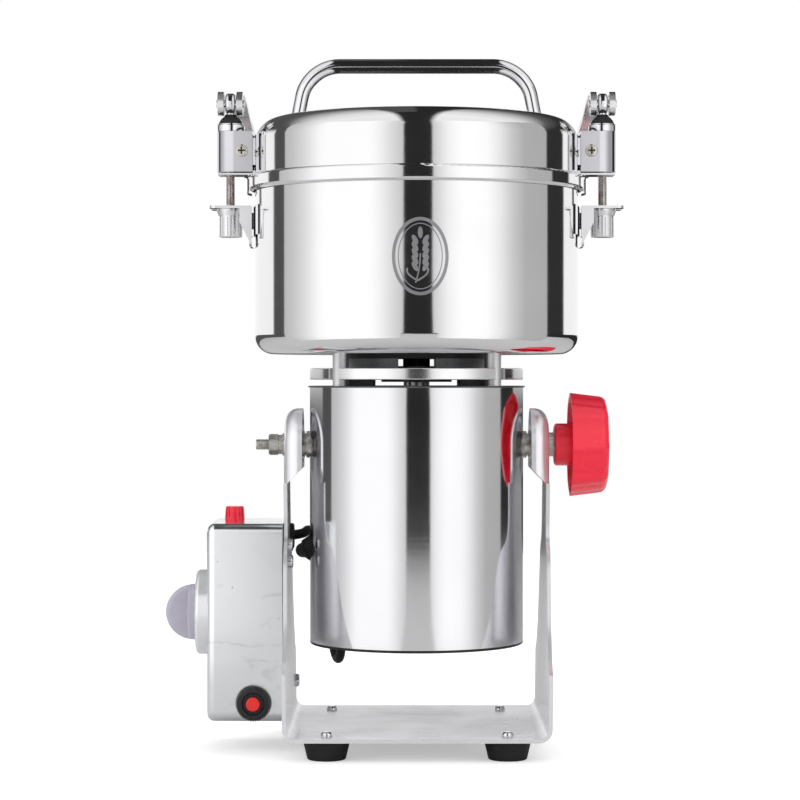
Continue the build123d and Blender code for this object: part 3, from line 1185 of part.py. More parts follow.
def clamp_lever():
    """Cam fork: two cheeks on a cross pin and a grip that curves around the lid."""
    path = Spline(
        (2.0, EYE_Z + CAM_R - 1.0), (14.0, EYE_Z + CAM_R - 2.0), (LEVER_REACH * 0.7, EYE_Z - 4.0),
        (LEVER_REACH, EYE_Z - LEVER_DROP), tangents=((1, 0), (0.35, -1)),
    )
    strip = make_face(
        Curve() + path + Line(path @ 1, (path @ 1) + Vector(-LEVER_SHEET, -0.5))
        + Spline(
            (LEVER_REACH - LEVER_SHEET, EYE_Z - LEVER_DROP - 0.5), (LEVER_REACH * 0.7 - 1.4, EYE_Z - 5.4),
            (13.4, EYE_Z + CAM_R - 2.0 - LEVER_SHEET), (2.0, EYE_Z + CAM_R - 1.0 - LEVER_SHEET),
            tangents=((-0.35, 1), (-1, 0)),
        )
        + Line((2.0, EYE_Z + CAM_R - 1.0 - LEVER_SHEET), (2.0, EYE_Z + CAM_R - 1.0))
    )
    grip = extrude(Plane.YZ * strip, amount=200)
    band = tube(LEVER_OUT, LEVER_IN, EYE_Z - LEVER_DROP - 5, EYE_Z + 20)
    grip = grip & band & block((0, 200), (8.0, 60), (EYE_Z - LEVER_DROP - 5, EYE_Z + 20))
    cheek_side = Pos(0, EYE_Z) * Circle(CAM_R) + make_face(Polyline(
        (0, EYE_Z + CAM_R - 0.02), (15.0, EYE_Z + CAM_R - 2.3), (12.0, EYE_Z - 2.5),
        (4.0, EYE_Z - CAM_R + 1.4), (0, EYE_Z), close=True,
    ))
    cheek = extrude(Plane.YZ * cheek_side, amount=CHEEK_OUT - CHEEK_IN)
    cheeks = Pos(CLAMP_X + CHEEK_IN, 0, 0) * cheek + Pos(CLAMP_X - CHEEK_OUT, 0, 0) * cheek
    lever = cheeks + grip - rod(PIN_R, CLAMP_X - 20, CLAMP_X + 20, "X", (0, EYE_Z))
    pin = rod(PIN_R, CLAMP_X - CHEEK_OUT - 0.8, CLAMP_X + CHEEK_OUT + 0.8, "X", (0, EYE_Z))
    return lever, pin


def nut_bottom():
    return CATCH_Z - FIT - NUT_HEIGHT


def clamp_nut():
    """Ribbed hand nut with a flared top, blind from below."""
    low, high = nut_bottom(), CATCH_Z - FIT
    nut = rod(NUT_R, low, high - 2.5, "Z", (CLAMP_X, 0))
    nut = bottom_edge(nut, 0.8) + cone(NUT_R, NUT_FLANGE_R, high - 3.5, high - 0.8, (CLAMP_X, 0))
    nut = nut + rod(NUT_FLANGE_R, high - 0.8, high, "Z", (CLAMP_X, 0))
    groove = rod(0.45, low - 1, high - 4, "Z", (NUT_R + 0.1, 0))
    nut = nut - [
        Pos(CLAMP_X, 0, 0) * Rot(0, 0, turn * 360 / NUT_RIBS) * groove for turn in range(NUT_RIBS)
    ]
    return nut - rod(ROD_R + RUN, low + 3.0, high + 1, "Z", (CLAMP_X, 0))


def build_clamps():
    for name, side in SIDES.items():
        def placed(shape):
            return shape if side > 0 else mirror(shape, about=Plane.YZ)
        save(f"clamp_rod_{name}", placed(clamp_rod()))
        save(f"clamp_dome_{name}", placed(clamp_dome()))
        save(f"clamp_lever_{name}", *[placed(piece) for piece in clamp_lever()])
        save(f"clamp_nut_{name}", placed(clamp_nut()))


build_frame()
build_control_box()
build_motor()
build_rotor()
build_bowl()
build_pivots()
build_lid()
build_clamps()
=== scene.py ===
import json
import math

import bmesh
import bpy
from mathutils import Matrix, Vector
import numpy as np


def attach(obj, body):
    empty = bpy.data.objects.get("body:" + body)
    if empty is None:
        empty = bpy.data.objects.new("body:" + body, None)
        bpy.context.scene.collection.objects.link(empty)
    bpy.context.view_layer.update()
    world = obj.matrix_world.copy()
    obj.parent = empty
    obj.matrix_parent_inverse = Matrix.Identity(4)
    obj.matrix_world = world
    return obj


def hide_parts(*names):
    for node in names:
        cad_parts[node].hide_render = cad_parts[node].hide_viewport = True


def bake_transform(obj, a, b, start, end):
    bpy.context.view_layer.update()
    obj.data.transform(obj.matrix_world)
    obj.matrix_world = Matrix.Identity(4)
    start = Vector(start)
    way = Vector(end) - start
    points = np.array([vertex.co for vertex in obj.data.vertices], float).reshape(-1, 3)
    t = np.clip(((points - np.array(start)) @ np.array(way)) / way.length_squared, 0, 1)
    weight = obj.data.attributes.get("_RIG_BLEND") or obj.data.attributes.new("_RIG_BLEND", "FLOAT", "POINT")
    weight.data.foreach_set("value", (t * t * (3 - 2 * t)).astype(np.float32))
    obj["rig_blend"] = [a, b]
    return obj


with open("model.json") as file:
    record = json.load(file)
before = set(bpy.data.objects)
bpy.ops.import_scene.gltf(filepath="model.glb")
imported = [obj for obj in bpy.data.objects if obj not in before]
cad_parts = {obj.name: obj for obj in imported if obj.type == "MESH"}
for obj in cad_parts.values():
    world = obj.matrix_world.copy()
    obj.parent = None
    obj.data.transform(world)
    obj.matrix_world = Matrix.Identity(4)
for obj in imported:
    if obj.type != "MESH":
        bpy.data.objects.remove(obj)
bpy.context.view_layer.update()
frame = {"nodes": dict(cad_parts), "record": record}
NODES = frame["nodes"]
SCENE = bpy.context.scene
SIDES = {-1: "left", 1: "right"}

# Lengths are in millimetres and angles in degrees, unless a comment says otherwise.

# The camera, where the photograph was taken from.
PHOTO_PIXELS = 800
FOCAL_PIXELS = 2593
SENSOR_WIDTH = 36.0
CAMERA_PLACE = (-8.9, -1400.0, 199.8)
CAMERA_DIP = 0.552            # below level
CAMERA_NEAR = 0.05            # metres

# Sizes and places that the part's source has too.
BOWL_R = 87.0
PIVOT_Z = 162.3
CLAMP_X = 100.3
SKIRT_R = 90.0
LID_TOP = 337.0
HANDLE_FOOT_X = 64.2
TIMER_Z = 72.0
BEZEL_FACE = -118.4

# Meshes.
MM = 0.001                    # a millimetre in metres
SMOOTH_ANGLE = 30.0
MERGE_DISTANCE = 1e-5         # points closer than this are one
ROUND_SIDES = 32
THREAD_SIDES, THREAD_STEPS = 28, 6    # around, and along each turn of the thread
THREAD_BLUNT = 0.2            # share of its depth that a thread keeps at its far end

# Motor lead: the given points that its smooth line follows, and its radius.
LEAD_ROUTE = (
    (-73.0, 15.0, 112.0), (-61.2, 15.6, 112.8), (-59.5, 27.0, 115.5), (-54.5, 40.0, 109.0),
    (-51.5, 50.5, 92.0), (-49.5, 60.0, 71.0), (-47.6, 65.5, 52.0), (-44.9, 62.0, 39.5),
    (-42.2, 53.0, 41.0), (-41.5, 48.5, 56.0), (-43.5, 45.5, 73.0), (-49.0, 38.0, 91.0),
    (-58.5, 26.0, 102.0), (-64.0, 12.0, 103.5), (-61.5, 3.0, 105.0),
)
LEAD_R = 2.6
LEAD_SIDES = 20
LEAD_STEPS = 12               # steps of its line from one point of the route to the next
LEAD_STILL = 0.06             # share of the lead at each end that keeps still with its body

# Clamp rods: a thread, a plain neck above it, as radius and height, and a ring for the lever's pin.
ROD_R = 2.35
ROD_BOTTOM = 277.5
EYE_Z = 346.0
EYE_R, EYE_BORE, EYE_HALF = 5.6, 2.05, 2.6      # ring's outer and inner radius, and half its width
EYE_EDGE, BORE_EDGE = 1.6, 0.5
EYE_SIDES, EDGE_STEPS = 40, 6
ROD_CREST, ROD_ROOT, ROD_PITCH = ROD_R + 0.04, ROD_R - 0.27, 0.8
ROD_THREAD = (ROD_BOTTOM + 0.4, EYE_Z - 8.5)
NECK = ((ROD_R - 0.3, EYE_Z - 9.2), (ROD_R - 0.05, EYE_Z - 8.9), (ROD_R - 0.05, EYE_Z - EYE_R + 1.2))
NECK_SIDES = 24
THREAD_END = EYE_Z - 8.6      # the rod is bright above this height

# Left pivot's stud, outwards from the middle plane.
STUD_R, STUD_ROOT, STUD_PITCH = 3.0, 2.55, 1.0
STUD_THREAD = (55.5, 86.5)
STUD_HEAD = ((5.6, 52.5), (6.5, 53.4), (6.5, 55.9))   # radius and place

# Knurled nut around the overload switch's button.
NUT_X, NUT_Z = -86.3, 26.4
NUT_R, NUT_BORE = 9.6, 5.6
NUT_FACE, NUT_BACK = -36.5, -31.0
NUT_TEETH, NUT_TOOTH = 44, 0.95
NUT_VALLEY = 0.6              # below 1, the valleys between the teeth are wider than the teeth
NUT_STEPS = 6                 # points to a tooth
NUT_PROFILE = (               # radius, share of the teeth's depth, and place along Y
    (NUT_R, 1.0, NUT_BACK), (NUT_R, 1.0, NUT_FACE + 1.5), (NUT_R - 0.25, 0.9, NUT_FACE + 0.7),
    (NUT_R - 0.75, 0.5, NUT_FACE + 0.2), (NUT_R - 1.5, 0.0, NUT_FACE), (NUT_BORE + 0.5, 0.0, NUT_FACE),
    (NUT_BORE, 0.0, NUT_FACE + 0.5), (NUT_BORE, 0.0, NUT_BACK),
)

# Clamp housings: the rim of the cup that a rod's ball sits in, and painted shade in the screw's cross recess.
SEAT_INNER, SEAT_OUTER = 6.8, 7.6
SEAT_LOW, SEAT_HIGH, SEAT_EDGE = 330.7, 334.4, 0.3
SEAT_GAP = 32.0               # half the rim's opening
SEAT_STEPS = 48
CROSS_X, CROSS_Z = 93.7, 320.0
CROSS_LONG, CROSS_WIDE = 1.98, 0.42   # half of each bar
CROSS_FLOOR, CROSS_FACE = 10.6, 11.2  # from the middle plane
CROSS_LIFT = 0.0314           # keeps the second bar's face off the first one's

# Weld around a foot of the lid's handle: a rippled bead along a slot's outline.
WELD_LONG, WELD_WIDE = 1.5, 3.5       # half of the outline's straight run, and its radius
WELD_R, WELD_RIPPLE, WELD_RIPPLES = 0.95, 0.16, 9
WELD_RISE = 0.1
WELD_SIDES, WELD_STEPS = 10, 56
WELD_ENDS = 1e-6              # a sine below this is on the line between the two halves

# Strip that hooks a lid ear around the hem of the skirt: its line, as radius and height.
HOOK_R = SKIRT_R + 0.15
HOOK_LINE = (
    (HOOK_R + 2.4, 307.2), (HOOK_R + 0.5, 306.4), (HOOK_R + 0.05, 304.5), (HOOK_R + 0.05, 299.2),
    (HOOK_R + 0.3, 297.6), (HOOK_R - 1.6, 297.2),
)
HOOK_THICK = 0.9
HOOK_HALF = 3.3               # half its width, in degrees around the bowl
HOOK_STEPS = 8

# Mark on the bowl's front: an ear of grain in a double oval.
MARK_MIDDLE, MARK_Z = 1.4, 260.0      # along the face from the bowl's front, and height
MARK_LOW, MARK_HIGH = -0.25, 0.03     # below and above the bowl's face
MARK_OVALS = ((13.6, 19.0, 1.7), (11.2, 16.6, 0.5))   # half width, half height and line's width
OVAL_SIDES = 72
STALK_FOOT, STALK_LENGTH, STALK_BEND, STALK_LINE, STALK_STEPS = -13.5, 15.0, 2.4, 0.7, 12
TOP_GRAIN_Z, TOP_GRAIN = 12.0, (1.25, 3.0)
GRAIN, GRAIN_ASIDE, GRAIN_LEAN = (1.25, 2.7), 2.7, 28     # half width and height, place, and turn
GRAIN_ROWS, GRAIN_TOP, GRAIN_STEP = 5, 8.4, 3.4
LEAF_FOOT, LEAF_RISE, LEAF_REACH, LEAF_SHIFT = -12.4, 6.4, 5.4, 1.4
LEAF_CURL, LEAF_LINE, LEAF_STEPS = 0.62, 0.9, 10

# Timer's scale, printed on the bezel.
DIAL_MINUTES, DIAL_LONG, DIAL_TURN = 30, 5, 10   # every fifth mark is long; degrees to a minute
DIAL_MARK_END = 22.2
DIAL_LONG_MARK, DIAL_SHORT_MARK = (19.6, 0.55), (20.6, 0.28)   # inner end and width
DIAL_NUMBER_R, DIAL_NUMBER_SIZE, DIAL_NUMBER_DEPTH = 17.4, 3.0, 0.03
PRINT_LOW, PRINT_HIGH, PRINT_LIFT = -0.02, 0.05, 0.02

# Floor, white to the camera and greyer in what metal mirrors.
FLOOR_HALF = 1500.0
PAPER_GREY, PAPER_MIRRORED = 0.86, 0.60
PAPER_LIFT = 0.42             # light that only the camera sees

# Soft boxes: curved sheets around the object. Azimuths are from the front, and a glow is its grey by azimuth.
BOX_R = 480.0
BOX_LOW, BOX_HIGH = 4.0, 590.0
BOX_CORNER = 60.0
BOX_NARROW_Z, BOX_WIDE_Z = 190.0, 230.0   # between these heights the inner edge steps inwards
BOX_COLUMNS, BOX_ROWS = 60, 24
BOX_POWER = 1.18
LEFT_GLOW = (
    (9, 0.57), (16, 0.71), (24, 0.90), (28, 0.97), (32, 1.0), (61, 1.0), (66, 0.96), (75, 0.77), (80, 0.68),
    (91, 0.53), (100, 0.48),
)
RIGHT_GLOW = (
    (10, 0.59), (15, 0.73), (19, 0.85), (23, 0.92), (28, 0.98), (33, 1.0), (46, 0.97), (55, 0.81), (64, 0.59),
    (75, 0.42), (96, 0.40),
)
SOFT_BOXES = (                # name, side, inner edge at the foot and at the top, outer edge, and glow
    ("soft_box_left", -1, (10.6, 8.4), 99.0, LEFT_GLOW),
    ("soft_box_right", 1, (13.3, 9.6), 96.5, RIGHT_GLOW),
)

# Room that metal mirrors: grey by the angle over the top from the front's horizon, dark sides, and a white
# sheet behind. A pair of angles is where an edge begins and where it ends.
OVERHEAD = (
    (0, 0.0), (27, 0.0), (31, 0.95), (50, 0.95), (65, 1.0), (90, 0.84), (108, 0.55), (130, 0.12), (150, 0.03),
)
OVERHEAD_ASIDE = (0.14, 0.20)         # the glow's own edge, as a share of the way to the side
DARK_LEVEL, DARK_LEVEL_LEFT = 0.022, 0.085
DARK_LEFT = (-60.0, -95.0)            # azimuths, from the middle's level to the left's
SHEET_MIDDLE = 2.9                    # azimuth that the sheet's two sides are equally far from
SHEET_SIDE = (123.6, 125.8)
SHEET_FOOT, SHEET_TOP = (-0.8, 0.4), (9.0, 16.0)
MATT_LEVEL = 0.62                     # level of the room that lights matt surfaces

LAMPS = (                     # name, place and size in metres, and power in watts
    ("key_left", (-1.3, -1.1, 1.0), (0.9, 1.3), 9.0),
    ("key_right", (1.3, -1.1, 1.0), (0.9, 1.3), 7.0),
    ("top", (0.0, 0.5, 1.7), (1.2, 1.2), 8.0),
)
LAMP_AIM = (0, 0, 0.18)       # metres


def mm(*place):
    """Place in metres from one in millimetres."""
    return Vector(place) / 1000.0


# ---------------------------------------------------------------- camera
def make_camera():
    data = bpy.data.cameras.new("camera")
    data.sensor_width = SENSOR_WIDTH
    data.lens = SENSOR_WIDTH * FOCAL_PIXELS / PHOTO_PIXELS
    data.clip_start = CAMERA_NEAR
    camera = bpy.data.objects.new("camera", data)
    camera.location = mm(*CAMERA_PLACE)
    camera.rotation_euler = (math.radians(90 - CAMERA_DIP), 0, 0)
    SCENE.collection.objects.link(camera)
    SCENE.camera = camera


# ---------------------------------------------------------------- node helpers
class Nodes:
    """Short calls that add nodes to a node tree."""

    def __init__(self, tree):
        self.tree = tree

    def node(self, kind, links=(), **settings):
        """Node with its settings; links gives each named input a value or another node's output."""
        made = self.tree.nodes.new(kind)
        for key, value in settings.items():
            setattr(made, key, value)
        for socket, value in dict(links).items():
            if isinstance(value, bpy.types.NodeSocket):
                self.tree.links.new(value, made.inputs[socket])
            else:
                made.inputs[socket].default_value = value
        return made

    def calc(self, operation, first, second=0.0):
        return self.node("ShaderNodeMath", {0: first, 1: second}, operation=operation).outputs[0]

    def split(self, vector):
        """The three parts of a vector."""
        return self.node("ShaderNodeSeparateXYZ", {0: vector}).outputs

    def flip(self, share):
        """What is left of one after a share."""
        return self.calc("SUBTRACT", 1.0, share)

    def spread(self, value, low, high, start=0.3, end=0.7):
        """Value from start to end, spread over low to high."""
        return self.node("ShaderNodeMapRange", {
            "Value": value, "From Min": start, "From Max": end, "To Min": low, "To Max": high,
        }).outputs["Result"]

    def ramp(self, value, *stops):
        """Colour ramp; each stop is a place and a grey or a colour."""
        node = self.node("ShaderNodeValToRGB", {0: value})
        points = node.color_ramp.elements
        while len(points) < len(stops):
            points.new(0.5)
        for point, (spot, colour) in zip(points, stops):
            point.position = spot
            point.color = (*colour, 1) if isinstance(colour, tuple) else (colour, colour, colour, 1)
        return node.outputs["Color"]

    def glow(self, half_turns, stops):
        """Grey by an angle in half turns; each stop is the angle in degrees and the grey."""
        return self.ramp(half_turns, *((degrees / 180, grey) for degrees, grey in stops))


class Shader(Nodes):
    """A material with a Principled shader."""

    def __init__(self, name, **sockets):
        self.material = bpy.data.materials.new(name)
        self.material.use_nodes = True
        super().__init__(self.material.node_tree)
        self.bsdf = self.tree.nodes["Principled BSDF"]
        for socket, value in sockets.items():
            self.bsdf.inputs[socket.replace("_", " ")].default_value = value

    def drive(self, socket, source):
        self.tree.links.new(source, self.bsdf.inputs[socket])

    def place(self, stretch=(1, 1, 1)):
        """Object coordinates in metres, stretched."""
        coordinates = self.node("ShaderNodeTexCoord").outputs["Object"]
        return self.node("ShaderNodeMapping", {"Vector": coordinates, "Scale": stretch}).outputs["Vector"]

    def around(self):
        """Coordinates that stay the same around the Z axis: distance from it, and height."""
        spot = self.split(self.place())
        flat = self.node("ShaderNodeCombineXYZ", {0: spot[0], 1: spot[1]}).outputs[0]
        radius = self.node("ShaderNodeVectorMath", {0: flat}, operation="LENGTH").outputs["Value"]
        return self.node("ShaderNodeCombineXYZ", {0: radius, 2: spot[2]}).outputs[0]

    def noise(self, scale, where, detail=4.0, roughness=0.55, distortion=0.0):
        return self.node("ShaderNodeTexNoise", {
            "Vector": where, "Scale": scale, "Detail": detail, "Roughness": roughness,
            "Distortion": distortion,
        }).outputs["Fac"]

    def two_tone(self, value, colour, change, dark_at=0.35, light_at=0.65):
        """Colour that drifts from a darker one to itself."""
        dark = tuple(part * (1 - change) for part in colour)
        return self.ramp(value, (dark_at, dark), (light_at, colour))

    def bump(self, *layers):
        """Bump from pairs of height and depth in millimetres."""
        normal = None
        for height, depth in layers:
            links = {"Height": height, "Distance": depth / 1000.0}
            if normal is not None:
                links["Normal"] = normal
            normal = self.node("ShaderNodeBump", links).outputs["Normal"]
        self.drive("Normal", normal)


def cleared_nodes(owner):
    """Node tree of a material or a world, with nothing in it yet."""
    owner.use_nodes = True
    owner.node_tree.nodes.clear()
    return Nodes(owner.node_tree)


# ---------------------------------------------------------------- materials
# Shaders work in metres: noise scales are per metre, and the painted reflection line's height, width and
# wander are in metres.
def polished_steel(name, colour, low, high, grain):
    """Steel polished on a lathe: hair-fine rings around Z, faint smudges and a few specks."""
    shader = Shader(name, Metallic=1.0)
    rings = shader.noise(9000, shader.around(), detail=2.0)
    smudge = shader.noise(14, shader.place(), detail=5.0, distortion=0.6)
    specks = shader.noise(900, shader.place(), detail=1.0)
    shader.drive("Base Color", shader.two_tone(smudge, colour, 0.05))
    rough = shader.spread(smudge, low, high)
    specks = shader.spread(specks, 0.0, 0.08, start=0.74, end=0.78)
    shader.drive("Roughness", shader.calc("ADD", rough, specks))
    shader.bump((rings, grain), (smudge, 0.02))
    return shader.material


def bright_plate(name, colour, low, high, wave=0.01):
    """Bright plated or polished small part."""
    shader = Shader(name, Metallic=1.0)
    smudge = shader.noise(60, shader.place(), detail=4.0, distortion=0.4)
    shader.drive("Base Color", shader.two_tone(smudge, colour, 0.08))
    shader.drive("Roughness", shader.spread(smudge, low, high))
    shader.bump((smudge, wave))
    return shader.material


def fastener(name, colour, worn, low, high):
    """Zinc-plated steel with duller, warmer patches."""
    shader = Shader(name, Metallic=1.0)
    patches = shader.noise(320, shader.place(), detail=5.0, roughness=0.7)
    shader.drive("Base Color", shader.ramp(patches, (0.38, worn), (0.6, colour)))
    shader.drive("Roughness", shader.spread(patches, high, low))
    shader.bump((shader.noise(2500, shader.place(), detail=2.0), 0.01))
    return shader.material


def spill_line(shader, level):
    """Painted reflection: a thin wandering dark line at a height, in a soft band, broken here and there."""
    wander = 0.014
    drift = shader.noise(55, shader.place((1.0, 1.0, 0.0)), detail=3.0)
    height = shader.split(shader.place())[2]
    height = shader.calc("ADD", height, shader.calc("MULTIPLY", drift, wander))
    away = shader.calc("ABSOLUTE", shader.calc("SUBTRACT", height, level + wander / 2))
    line = shader.spread(away, 0.30, 0.0, start=0.0002, end=0.0011)
    band = shader.spread(away, 0.10, 0.0, start=0.0, end=0.006)
    broken = shader.spread(shader.noise(75, shader.place(), detail=3.0), 0.15, 1.0, start=0.42, end=0.58)
    return shader.calc("MULTIPLY", shader.calc("MAXIMUM", line, band), broken)


def satin_sheet(name, colour, low, high, dirt=0.0, metal=1.0, painted_line_height=None, uneven=1.0):
    """Polished sheet gone a little soft: slow waves, clouded patches, handling marks and a painted reflection
    line.
    """
    shader = Shader(name, Metallic=metal)
    cloud = shader.noise(26, shader.place((1.0, 1.0, 1.6)), detail=1.0 + 4.0 * uneven, roughness=0.6,
                         distortion=uneven)
    waves = shader.noise(16, shader.place((1.0, 1.0, 0.5)), detail=1.0)
    base = shader.two_tone(cloud, colour, 0.05 * uneven, light_at=0.62)
    marks = shader.noise(30, shader.place((1.0, 1.0, 2.2)), detail=8.0, roughness=0.62, distortion=2.2)
    marks = shader.spread(marks, 0.0, dirt, start=0.62, end=0.78)
    specks = shader.noise(260, shader.place(), detail=2.0)
    specks = shader.spread(specks, 0.0, dirt, start=0.735, end=0.765)
    # Painted reflection: a dark wandering line at the given height, mixed in with the handling marks.
    if painted_line_height is not None:
        marks = shader.calc("MAXIMUM", marks, spill_line(shader, painted_line_height))
    # Darker colour for the handling marks and specks, and for the painted reflection line.
    dirt_and_painted_line_colour = tuple(part * 0.42 for part in colour)
    factor, first, second, result = 0, 6, 7, 2   # the Mix node's sockets for colours
    mixed = shader.node("ShaderNodeMix", {
        factor: shader.calc("MAXIMUM", marks, specks), first: base, second: (*dirt_and_painted_line_colour, 1),
    }, data_type="RGBA")
    shader.drive("Base Color", mixed.outputs[result])
    shader.drive("Roughness", shader.spread(cloud, low, high))
    shader.bump((waves, 0.25 * uneven), (cloud, 0.02 * uneven), (specks, 0.04 * dirt))
    return shader.material


def plastic(name, colour, low, high, grain=0.015, coat=0.0, change=0.12):
    """Moulded plastic or rubber with a fine tooled surface."""
    shader = Shader(name, Coat_Weight=coat, Coat_Roughness=0.1)
    cloud = shader.noise(45, shader.place(), detail=5.0)
    shader.drive("Base Color", shader.two_tone(cloud, colour, change))
    shader.drive("Roughness", shader.spread(cloud, low, high))
    shader.bump((shader.noise(1800, shader.place(), detail=2.0), grain), (cloud, 0.03))
    return shader.material


def casting(name, colour, low, high):
    """Sand-grained casting."""
    shader = Shader(name, Metallic=1.0)
    grain = shader.noise(900, shader.place(), detail=4.0, roughness=0.7)
    shader.drive("Base Color", shader.two_tone(grain, colour, 0.35, light_at=0.62))
    shader.drive("Roughness", shader.spread(grain, low, high))
    shader.bump((grain, 0.12))
    return shader.material


def winding(name, colour):
    """Turns of enamelled wire."""
    shader = Shader(name, Metallic=1.0)
    waves = shader.node("ShaderNodeTexWave", {"Vector": shader.place(), "Scale": 260, "Distortion": 1.5})
    turns = waves.outputs["Fac"]
    shader.drive("Base Color", shader.two_tone(turns, colour, 0.6, dark_at=0.1, light_at=0.6))
    shader.drive("Roughness", shader.spread(turns, 0.5, 0.3))
    shader.bump((turns, 0.3))
    return shader.material


def timer_grey(name, dark, light):
    """Clouded grey plastic that lets a little light in."""
    shader = Shader(
        name, Subsurface_Weight=0.25, Subsurface_Radius=(0.004, 0.004, 0.005), Coat_Weight=0.3,
        Coat_Roughness=0.2,
    )
    cloud = shader.noise(70, shader.place(), detail=4.0)
    shader.drive("Base Color", shader.ramp(cloud, (0.35, dark), (0.65, light)))
    shader.drive("Roughness", shader.spread(cloud, 0.32, 0.42))
    shader.bump((shader.noise(2200, shader.place(), detail=2.0), 0.01))
    return shader.material


# A material's colour is followed by its lowest and highest roughness.
MATERIALS = {
    "frame_sheet": satin_sheet("frame_sheet", (0.93, 0.925, 0.96), 0.20, 0.26, metal=0.6, uneven=0.3),
    # The box sheet's dark wandering line, at 57 mm, is a painted reflection.
    "box_sheet": satin_sheet("box_sheet", (0.965, 0.985, 1.0), 0.15, 0.21, dirt=0.62, painted_line_height=0.057),
    "black_rubber": plastic("black_rubber", (0.010, 0.010, 0.011), 0.55, 0.68, grain=0.03),
    "polished_steel": polished_steel("polished_steel", (0.87, 0.87, 0.88), 0.05, 0.085, 0.0022),
    "sleeve_steel": polished_steel("sleeve_steel", (0.85, 0.85, 0.865), 0.07, 0.11, 0.003),
    "plated_steel": bright_plate("bright_plate", (0.86, 0.86, 0.88), 0.03, 0.08),
    "zinc_steel": fastener("zinc_steel", (0.66, 0.65, 0.63), (0.42, 0.39, 0.35), 0.22, 0.42),
    "cast_alloy": casting("cast_alloy", (0.20, 0.205, 0.21), 0.45, 0.62),
    "bright_alloy": bright_plate("bright_alloy", (0.84, 0.84, 0.85), 0.16, 0.28, 0.02),
    "black_plastic": plastic("black_plastic", (0.012, 0.013, 0.014), 0.38, 0.5),
    "red_plastic": plastic("red_plastic", (1.0, 0.01, 0.045), 0.24, 0.32, grain=0.004, coat=0.3, change=0.05),
    "grey_plastic": timer_grey("timer_grey", (0.48, 0.455, 0.545), (0.55, 0.525, 0.615)),
    "white_plastic": plastic("white_plastic", (0.78, 0.78, 0.77), 0.4, 0.5, change=0.05),
    "iron": fastener("laminated_iron", (0.30, 0.30, 0.31), (0.16, 0.14, 0.13), 0.4, 0.6),
    "copper": winding("copper_wire", (0.72, 0.36, 0.18)),
    "brass": fastener("brass", (0.74, 0.56, 0.24), (0.48, 0.34, 0.14), 0.25, 0.42),
    "carbon": plastic("carbon", (0.02, 0.02, 0.021), 0.6, 0.75, grain=0.05),
    "silicone": plastic("silicone", (0.72, 0.72, 0.71), 0.5, 0.6, change=0.04),
    "pressed_nut": bright_plate("pressed_nut", (0.88, 0.88, 0.89), 0.2, 0.32, 0.02),
}
# Nodes that look a little different from the rest of their slot.
OWN = {
    "adaptor_plate": bright_plate("ground_plate", (0.90, 0.90, 0.91), 0.12, 0.2, 0.02),
    "bowl_standoffs": bright_plate("turned_post", (0.76, 0.76, 0.77), 0.40, 0.50, 0.01),
    "clamp_lever_left": bright_plate("satin_lever", (0.92, 0.92, 0.93), 0.20, 0.30, 0.02),
    "bracket_screws": MATERIALS["plated_steel"],
    "clamp_housings": bright_plate("housing_plate", (0.66, 0.655, 0.69), 0.04, 0.10, 0.03),
    "clamp_screws": fastener("screw_steel", (0.84, 0.80, 0.73), (0.55, 0.50, 0.42), 0.22, 0.36),
    "reset_button": plastic("reset_red", (0.93, 0.016, 0.01), 0.3, 0.4, grain=0.004, coat=0.2, change=0.05),
    "timer_bezel": satin_sheet("bezel_plate", (0.94, 0.945, 0.97), 0.2, 0.28, metal=0.5, uneven=0.3),
    "foot_screws": MATERIALS["plated_steel"],
}
OWN["clamp_lever_right"] = OWN["clamp_lever_left"]
THREAD = fastener("threaded_steel", (0.72, 0.66, 0.63), (0.44, 0.36, 0.33), 0.16, 0.30)
ETCHED = bright_plate("etched_steel", (0.40, 0.40, 0.42), 0.42, 0.5, 0.0)
# Dark print of the dial; the same material is also painted shade in the screws' cross recesses.
PRINT_AND_RECESS_SHADE = plastic("print_and_recess_shade", (0.03, 0.03, 0.035), 0.5, 0.6, grain=0.002)


def dress_nodes():
    """Every carried-over node takes the material of its slot, or its own variant of it."""
    for part in frame["record"]["subparts"]:
        piece = NODES[part["node"]]
        piece.data.materials.clear()
        piece.data.materials.append(OWN.get(part["node"], MATERIALS[part["material_slot"]]))


# ---------------------------------------------------------------- mesh helpers
def object_from(name, mesh_data, material):
    """Object from a bmesh in millimetres."""
    bmesh.ops.scale(mesh_data, vec=(MM, MM, MM), verts=mesh_data.verts)
    mesh = bpy.data.meshes.new(name)
    mesh_data.to_mesh(mesh)
    mesh_data.free()
    mesh.materials.append(material)
    made = bpy.data.objects.new(name, mesh)
    SCENE.collection.objects.link(made)
    return made


def piece_from(name, mesh_data, material, body):
    """Piece of the part from a bmesh in millimetres, smooth but for its sharp edges."""
    bmesh.ops.remove_doubles(mesh_data, verts=mesh_data.verts, dist=MERGE_DISTANCE)
    bmesh.ops.recalc_face_normals(mesh_data, faces=mesh_data.faces)
    piece = object_from(name, mesh_data, material)
    for polygon in piece.data.polygons:
        polygon.use_smooth = True
    piece.data.set_sharp_from_angle(angle=math.radians(SMOOTH_ANGLE))
    if body:
        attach(piece, body)
    return piece


def mesh_of(curve):
    """Mesh that Blender makes of a curve or a text."""
    holder = bpy.data.objects.new(curve.name, curve)
    SCENE.collection.objects.link(holder)
    bpy.context.view_layer.update()
    mesh = bpy.data.meshes.new_from_object(holder)
    bpy.data.objects.remove(holder)
    return mesh


